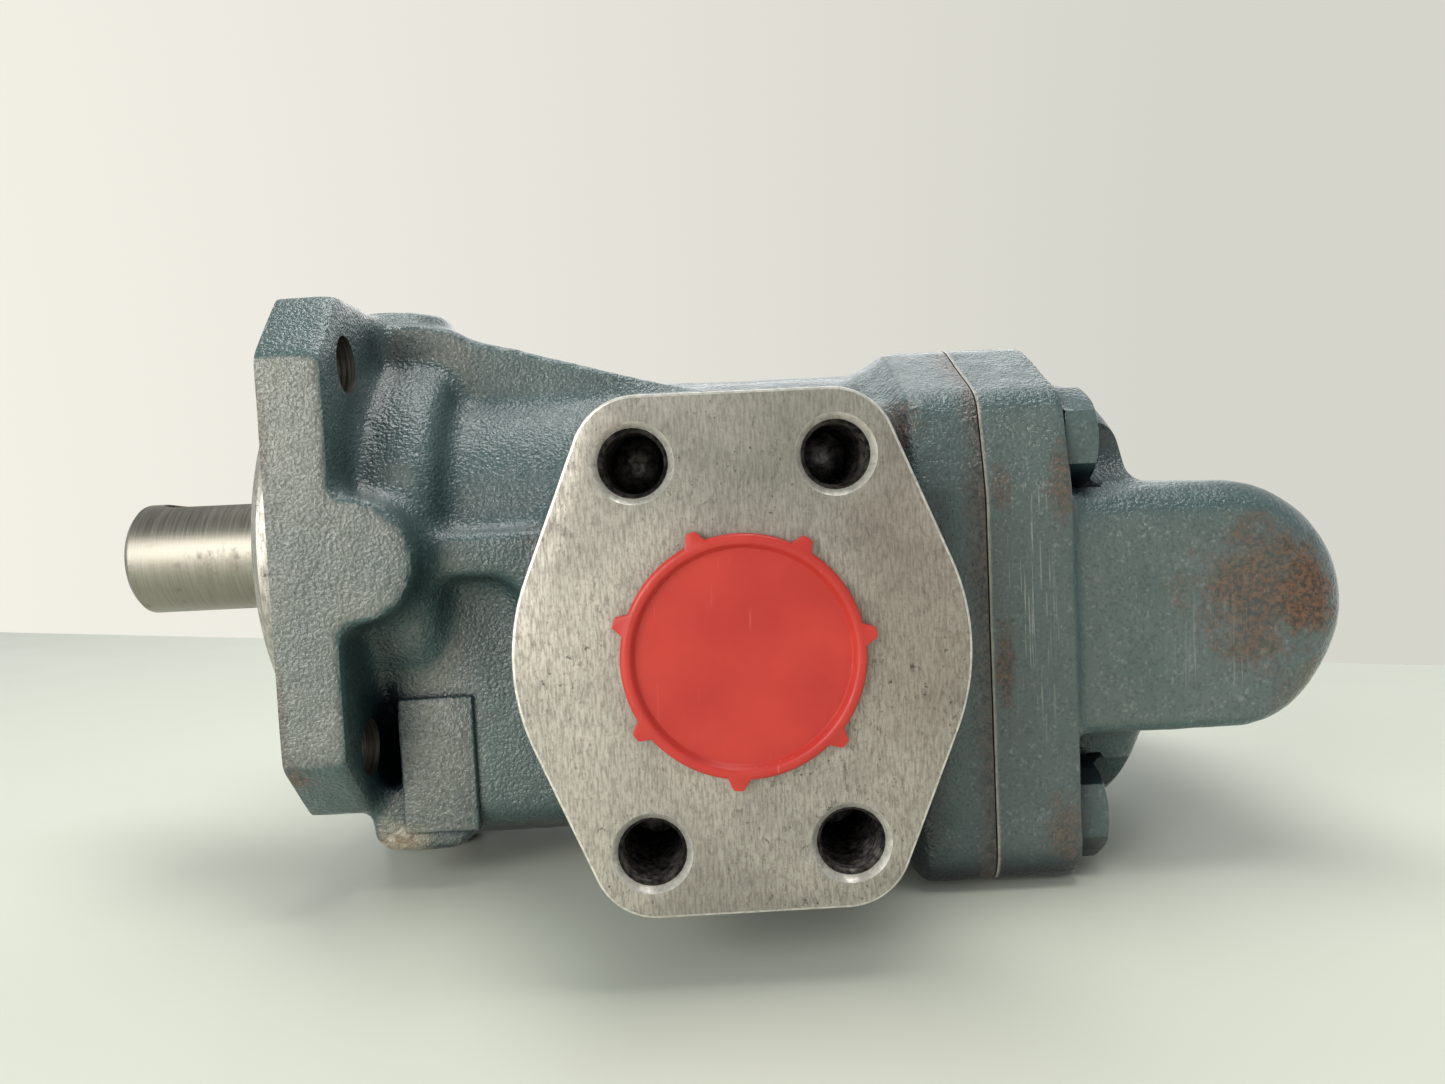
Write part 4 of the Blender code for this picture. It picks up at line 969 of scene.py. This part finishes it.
for number, (y, z) in enumerate(SCREWS, 1):
    head0, head1 = 144.6, 151.0
    turn = 90.0 + (0.0, -17.0, -10.0, 17.0)[number - 1]
    screw = plate("screw_%d" % number, [hexagon(17.0, turn)], head0, head1, centre=(y, z),
                  bevel=0.25, bevel_seg=2)
    bake(screw)
    carve(screw, [turned("dish", [(head0 - 1, 0), (head0 - 1, 9.3), (head0, 9.3),
                                  (head0 + 0.5, 10.4), (head1 - 1.1, 10.4),
                                  (head1 - 0.55, 9.3), (head1, 8.1), (head1, 0)],
                         centre=(y, z))], 'INTERSECT', 'EXACT')
    carve(screw, [turned("shank", [(115.3, 0), (115.3, 4.0), (116.3, 4.9), (head0 + 2, 4.9),
                                   (head0 + 2, 0)], centre=(y, z), seg=32)], 'UNION', 'EXACT')
    smooth(screw.data, 25.0)
    dress(screw, "motor_body", ["cover_screw_%d" % number], SCREW_PAINT)


# ==================================================================== shaft
def involute(t):
    return tan(t) - t


def gear_outline():
    """Ten teeth of module 3, with a running clearance."""
    base = 15.0 * cos(radians(20.0))
    half_base = (pi / 2 + 2 * 0.186 * tan(radians(20.0))) / 10 + involute(radians(20.0)) - 0.014
    flank = [12.2, 12.8, 13.4, 14.2, 15.0, 15.8, 16.6, 17.4, 18.0]
    one = []
    for r in flank:
        a = half_base - (involute(acos(base / r)) if r > base else 0.0)
        one.append((r, a))
    out = []
    for tooth in range(10):
        mid = 2 * pi * tooth / 10
        out.append((11.9, mid - pi / 10))
        out += [(r, mid - a) for r, a in one]
        out += [(r, mid + a) for r, a in reversed(one)]
    pts = [(r * sin(a), r * cos(a)) for r, a in out]
    pts.reverse()
    return pts


def gear_shaft(name, profile, centre, turn, lo=62.0, hi=102.0):
    c, s = cos(turn), sin(turn)
    loop = [(u * c - v * s, u * s + v * c) for u, v in gear_outline()]
    obj = plate(name, [loop], lo, hi, centre=centre)
    bake(obj)
    carve(obj, [turned("stem", profile, centre=centre)], 'UNION', 'EXACT')
    return obj


drive = gear_shaft("drive_shaft_and_gear",
                   [(-46, 0), (-46, 10.6), (-45.6, 11.1), (-44.8, 11.9), (-44.4, 12.0),
                    (7.6, 12.0), (7.6, 12.2), (25.8, 12.2), (25.8, 11.4), (27.8, 11.4),
                    (27.8, 12.2), (35.0, 12.2), (36.0, 11.0), (126.6, 11.0), (127.4, 10.2),
                    (127.4, 0)], (0.0, 0.0), pi)
keyway = rounded([(-41.5, -4, 3.95), (-6.0, -4, 3.95), (-6.0, 4, 3.95), (-41.5, 4, 3.95)], 12)
carve(drive, [plate("c_key", [keyway], 8.0, 15.0, axis='Z'),
              turned("c_centre", [(-47, 0), (-47, 3.2), (-46, 3.2), (-43.4, 0.9), (-41, 0.9),
                                  (-40.2, 0)], seg=32)], 'DIFFERENCE', 'EXACT')
smooth(drive.data, 25.0)
dress(drive, "drive_shaft", ["drive_gear_shaft"], SHAFT)


# ================================================= small pieces in view
def swap(name, node, body, mat, profile, axis='X', centre=(0.0, 0.0), seg=SEG,
         tools=(), how='DIFFERENCE'):
    obj = turned(name, profile, axis, centre, seg)
    bake(obj)
    if tools:
        carve(obj, list(tools), how, 'EXACT')
        smooth(obj.data, 28.0)
    return dress(obj, body, [node], mat)


swap("seal_carrier_ring", "seal_carrier", "motor_body", ALU,
     [(-3.4, 15.0), (-2.9, 14.5), (-0.6, 14.5), (-0.6, 20.3), (7.7, 20.3), (7.7, 30.6),
      (7.3, 31.0), (4.4, 31.0), (4.4, 28.5), (1.6, 28.5), (1.6, 31.0), (-3.0, 31.0),
      (-3.4, 30.6)])
swap("top_drain_plug", "drain_plug", "motor_body", STEEL_Z,
     [(40.5, 0), (40.5, 6.0), (41.5, 7.0), (49.6, 7.0), (50.0, 6.6), (50.0, 0)], 'Z',
     (LUG_X, 0.0), 64,
     [drill("socket", [('Z', LUG_X, 0, 44.5, 52.0, 3.46, 3.46, 6)])])

# ---- port caps: dished face, raised rim, seven small ears
for letter, side in (("a", -1), ("b", 1)):
    def at(depth):
        return side * (PORT_FACE + depth)

    cap = turned("red_cap_" + letter,
                 [(at(-0.9), 0), (at(-0.9), 13.4), (at(-12.7), 13.4),
                  (at(-12.7), 14.6), (at(-11.2), 15.5), (at(0.3), 15.75), (at(0.3), 18.2),
                  (at(0.45), 18.35), (at(1.75), 18.35), (at(2.1), 18.15), (at(2.3), 17.75),
                  (at(2.3), 17.1), (at(2.1), 16.75), (at(1.3), 16.45), (at(1.0), 16.1), (at(0.9), 0)],
                 'Y', (PORT_Z, PORT_X), 160)
    bake(cap)
    ears = []
    for k in range(7):
        a = 2 * pi * k / 7 + radians(8.0)
        ear = rounded([(17.2, -2.2, 0.3), (20.0, -0.75, 0.5), (20.0, 0.75, 0.5),
                       (17.2, 2.2, 0.3)], 5)
        loop = [(PORT_Z + u * sin(a) + v * cos(a), PORT_X + u * cos(a) - v * sin(a))
                for u, v in ear]
        lo, hi = sorted((at(0.4), at(2.15)))
        ears.append(plate("ear", [loop], lo, hi, axis='Y', bevel=0.2, bevel_seg=2))
    carve(cap, ears, 'UNION', 'EXACT')
    smooth(cap.data, 40.0)
    dress(cap, "cap_" + letter, ["port_cap_" + letter], RED)


# ---- relief valve's outer pieces, on the far end of the bar
def hex_piece(name, node, mat, across, lo, hi, extras, bore):
    loop = [(VALVE_Z + u, VALVE_X + v) for u, v in hexagon(across, 12.0)]
    obj = plate(name, [loop], lo, hi, axis='Y', bevel=0.2, bevel_seg=2)
    bake(obj)
    rim = across / sqrt(3)
    centre = (VALVE_Z, VALVE_X)
    carve(obj, [turned("dish", [(lo - 0.5, 0), (lo - 0.5, rim - 1.4), (lo + 1.0, rim + 0.3),
                                (hi - 1.0, rim + 0.3), (hi + 0.5, rim - 1.4), (hi + 0.5, 0)],
                       'Y', centre)], 'INTERSECT', 'EXACT')
    carve(obj, [turned("extra", p, 'Y', centre, 64) for p in extras], 'UNION', 'EXACT')
    carve(obj, [turned("bore", bore, 'Y', centre, 48)], 'DIFFERENCE', 'EXACT')
    smooth(obj.data, 25.0)
    return dress(obj, "motor_body", [node], mat)


hex_piece("valve_bonnet", "relief_bonnet", STEEL_Y, 27.0, 48.9, 57.0,
          [[(39.2, 0), (39.2, 10.2), (40.0, 11.0), (52.0, 11.0), (52.0, 0)]],
          [(38.0, 0), (38.0, 4.3), (60.0, 4.3), (60.0, 0)])
hex_piece("valve_lock_nut", "relief_lock_nut", STEEL_Y, 13.0, 57.3, 62.0, [],
          [(56.0, 0), (56.0, 4.3), (64.0, 4.3), (64.0, 0)])
hex_piece("valve_cap_nut", "relief_cap_nut", STEEL_Y, 16.0, 62.3, 69.0,
          [[(66.0, 0), (66.0, 6.9), (71.0, 6.6), (73.0, 5.6), (74.4, 4.2), (75.2, 2.2),
            (75.4, 0)]],
          [(61.0, 0), (61.0, 4.3), (71.8, 4.3), (71.8, 0)])
swap("valve_bonnet_seal", "relief_bonnet_seal", "motor_body", ALU,
     [(47.3, 11.6), (48.6, 11.6), (48.6, 15.0), (48.4, 15.2), (47.5, 15.2), (47.3, 15.0)],
     'Y', (VALVE_Z, VALVE_X))

# ----------------------------------- CAD pieces that stay, with fuller looks
LEFT = {
    "cover_seal": RUBBER, "dowel_pin_1": STEEL_X, "dowel_pin_2": STEEL_X,
    "driven_gear_shaft": STEEL_X, "front_bearing_block": ALU, "rear_bearing_block": ALU,
    "front_block_seal": RUBBER, "rear_block_seal": RUBBER, "front_drive_bush": BRONZE,
    "front_driven_bush": BRONZE, "rear_drive_bush": BRONZE, "rear_driven_bush": BRONZE,
    "bearing_outer_ring": BEARING, "bearing_inner_ring": BEARING, "bearing_cage": BRASS,
    "shaft_circlip": STEEL_X, "carrier_circlip": STEEL_X, "carrier_o_ring": RUBBER,
    "shaft_seal": RUBBER, "garter_spring": STEEL_X, "relief_seat": STEEL_Y,
    "relief_poppet": STEEL_Y, "relief_spring": STEEL_Y, "relief_spring_seat": STEEL_Y,
    "relief_adjuster": STEEL_Y,
}
for k in range(8):
    LEFT["bearing_ball_%d" % (k + 1)] = BEARING
for node, mat in LEFT.items():
    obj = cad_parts[node]
    obj.data.materials.clear()
    obj.data.materials.append(mat)


# ==================================================== floor, world, lights
floor_mesh = bpy.data.meshes.new("floor")
bm = bmesh.new()
p0, p1 = Vector((-0.476, 0.482, 0)), Vector((0.266, 0.128, 0))
way = (p1 - p0).normalized()
near = Vector((-way.y, way.x, 0.0))
if near.y > 0:
    near = -near
corners = [p0 - way * 2.2, p1 + way * 2.2, p1 + way * 2.2 + near * 2.6, p0 - way * 2.2 + near * 2.6]
bm.faces.new([bm.verts.new(c) for c in corners])
bmesh.ops.recalc_face_normals(bm, faces=bm.faces)
bm.to_mesh(floor_mesh)
bm.free()
if floor_mesh.polygons[0].normal.z < 0:
    floor_mesh.flip_normals()
floor = put("floor", floor_mesh, Matrix.Translation((0, 0, -0.0002)))
m = Look("floor_board")
tint = m.mix(m.noise(160.0, 3, 0.5), srgb(216, 220, 206), srgb(224, 227, 214))
floor_mesh.materials.append(m.done(tint, m.band(m.noise(60.0, 2, 0.5), 0.3, 0.7, 0.30, 0.40),
                                   0.0, specular=0.4))

world = bpy.data.worlds.new("studio")
bpy.context.scene.world = world
world.use_nodes = True
wn, wl = world.node_tree.nodes, world.node_tree.links
back = wn["Background"]
back.inputs["Strength"].default_value = 1.0
# what is seen behind the motor: an off-white board with painted light, paler to the left where the
# light comes from
way_in = wn.new("ShaderNodeTexCoord")
split = wn.new("ShaderNodeSeparateXYZ")
wl.new(way_in.outputs["Generated"], split.inputs[0])
light_falloff = wn.new("ShaderNodeMapRange")
light_falloff.inputs["From Min"].default_value = -0.55
light_falloff.inputs["From Max"].default_value = 0.40
wl.new(split.outputs["X"], light_falloff.inputs["Value"])
board = wn.new("ShaderNodeMix")
board.data_type = 'RGBA'
board.inputs[6].default_value = srgb(243, 240, 230)
board.inputs[7].default_value = srgb(214, 213, 204)
wl.new(light_falloff.outputs["Result"], board.inputs[0])
# what lights it: soft from the front, dim overhead between the lamps
height = wn.new("ShaderNodeMapRange")
height.inputs["From Min"].default_value = -0.2
height.inputs["From Max"].default_value = 0.75
height.interpolation_type = 'SMOOTHSTEP'
wl.new(split.outputs["Z"], height.inputs["Value"])
room = wn.new("ShaderNodeMix")
room.data_type = 'RGBA'
room.inputs[6].default_value = (0.84, 0.86, 0.84, 1.0)
room.inputs[7].default_value = (0.34, 0.36, 0.36, 1.0)
wl.new(height.outputs["Result"], room.inputs[0])
lit = wn.new("ShaderNodeBackground")
wl.new(room.outputs[2], lit.inputs["Color"])
wl.new(board.outputs[2], back.inputs["Color"])
path = wn.new("ShaderNodeLightPath")
choose = wn.new("ShaderNodeMixShader")
wl.new(path.outputs["Is Camera Ray"], choose.inputs[0])
wl.new(lit.outputs[0], choose.inputs[1])
wl.new(back.outputs[0], choose.inputs[2])
wl.new(choose.outputs[0], wn["World Output"].inputs["Surface"])


def area_light(name, where, target, size, power, colour=(1, 1, 1)):
    data = bpy.data.lights.new(name, 'AREA')
    data.shape = 'RECTANGLE'
    data.size, data.size_y = size
    data.energy = power
    data.color = colour
    lamp = bpy.data.objects.new(name, data)
    lamp.matrix_world = (Matrix.Translation(where)
                         @ (Vector(target) - Vector(where)).to_track_quat('-Z', 'Y')
                         .to_matrix().to_4x4())
    bpy.context.scene.collection.objects.link(lamp)
    return lamp


area_light("overhead", (0.02, 0.02, 0.80), (0.0, 0.0, 0.05), (0.74, 0.30), 3.9,
           (1.0, 0.99, 0.96))
area_light("front_fill", (-0.60, -0.76, 0.34), (-0.06, 0.0, 0.05), (0.60, 0.60), 6.6,
           (1.0, 0.99, 0.96))
area_light("back_soft", (0.10, 0.75, 0.55), (0.0, 0.0, 0.05), (0.8, 0.5), 1.4)
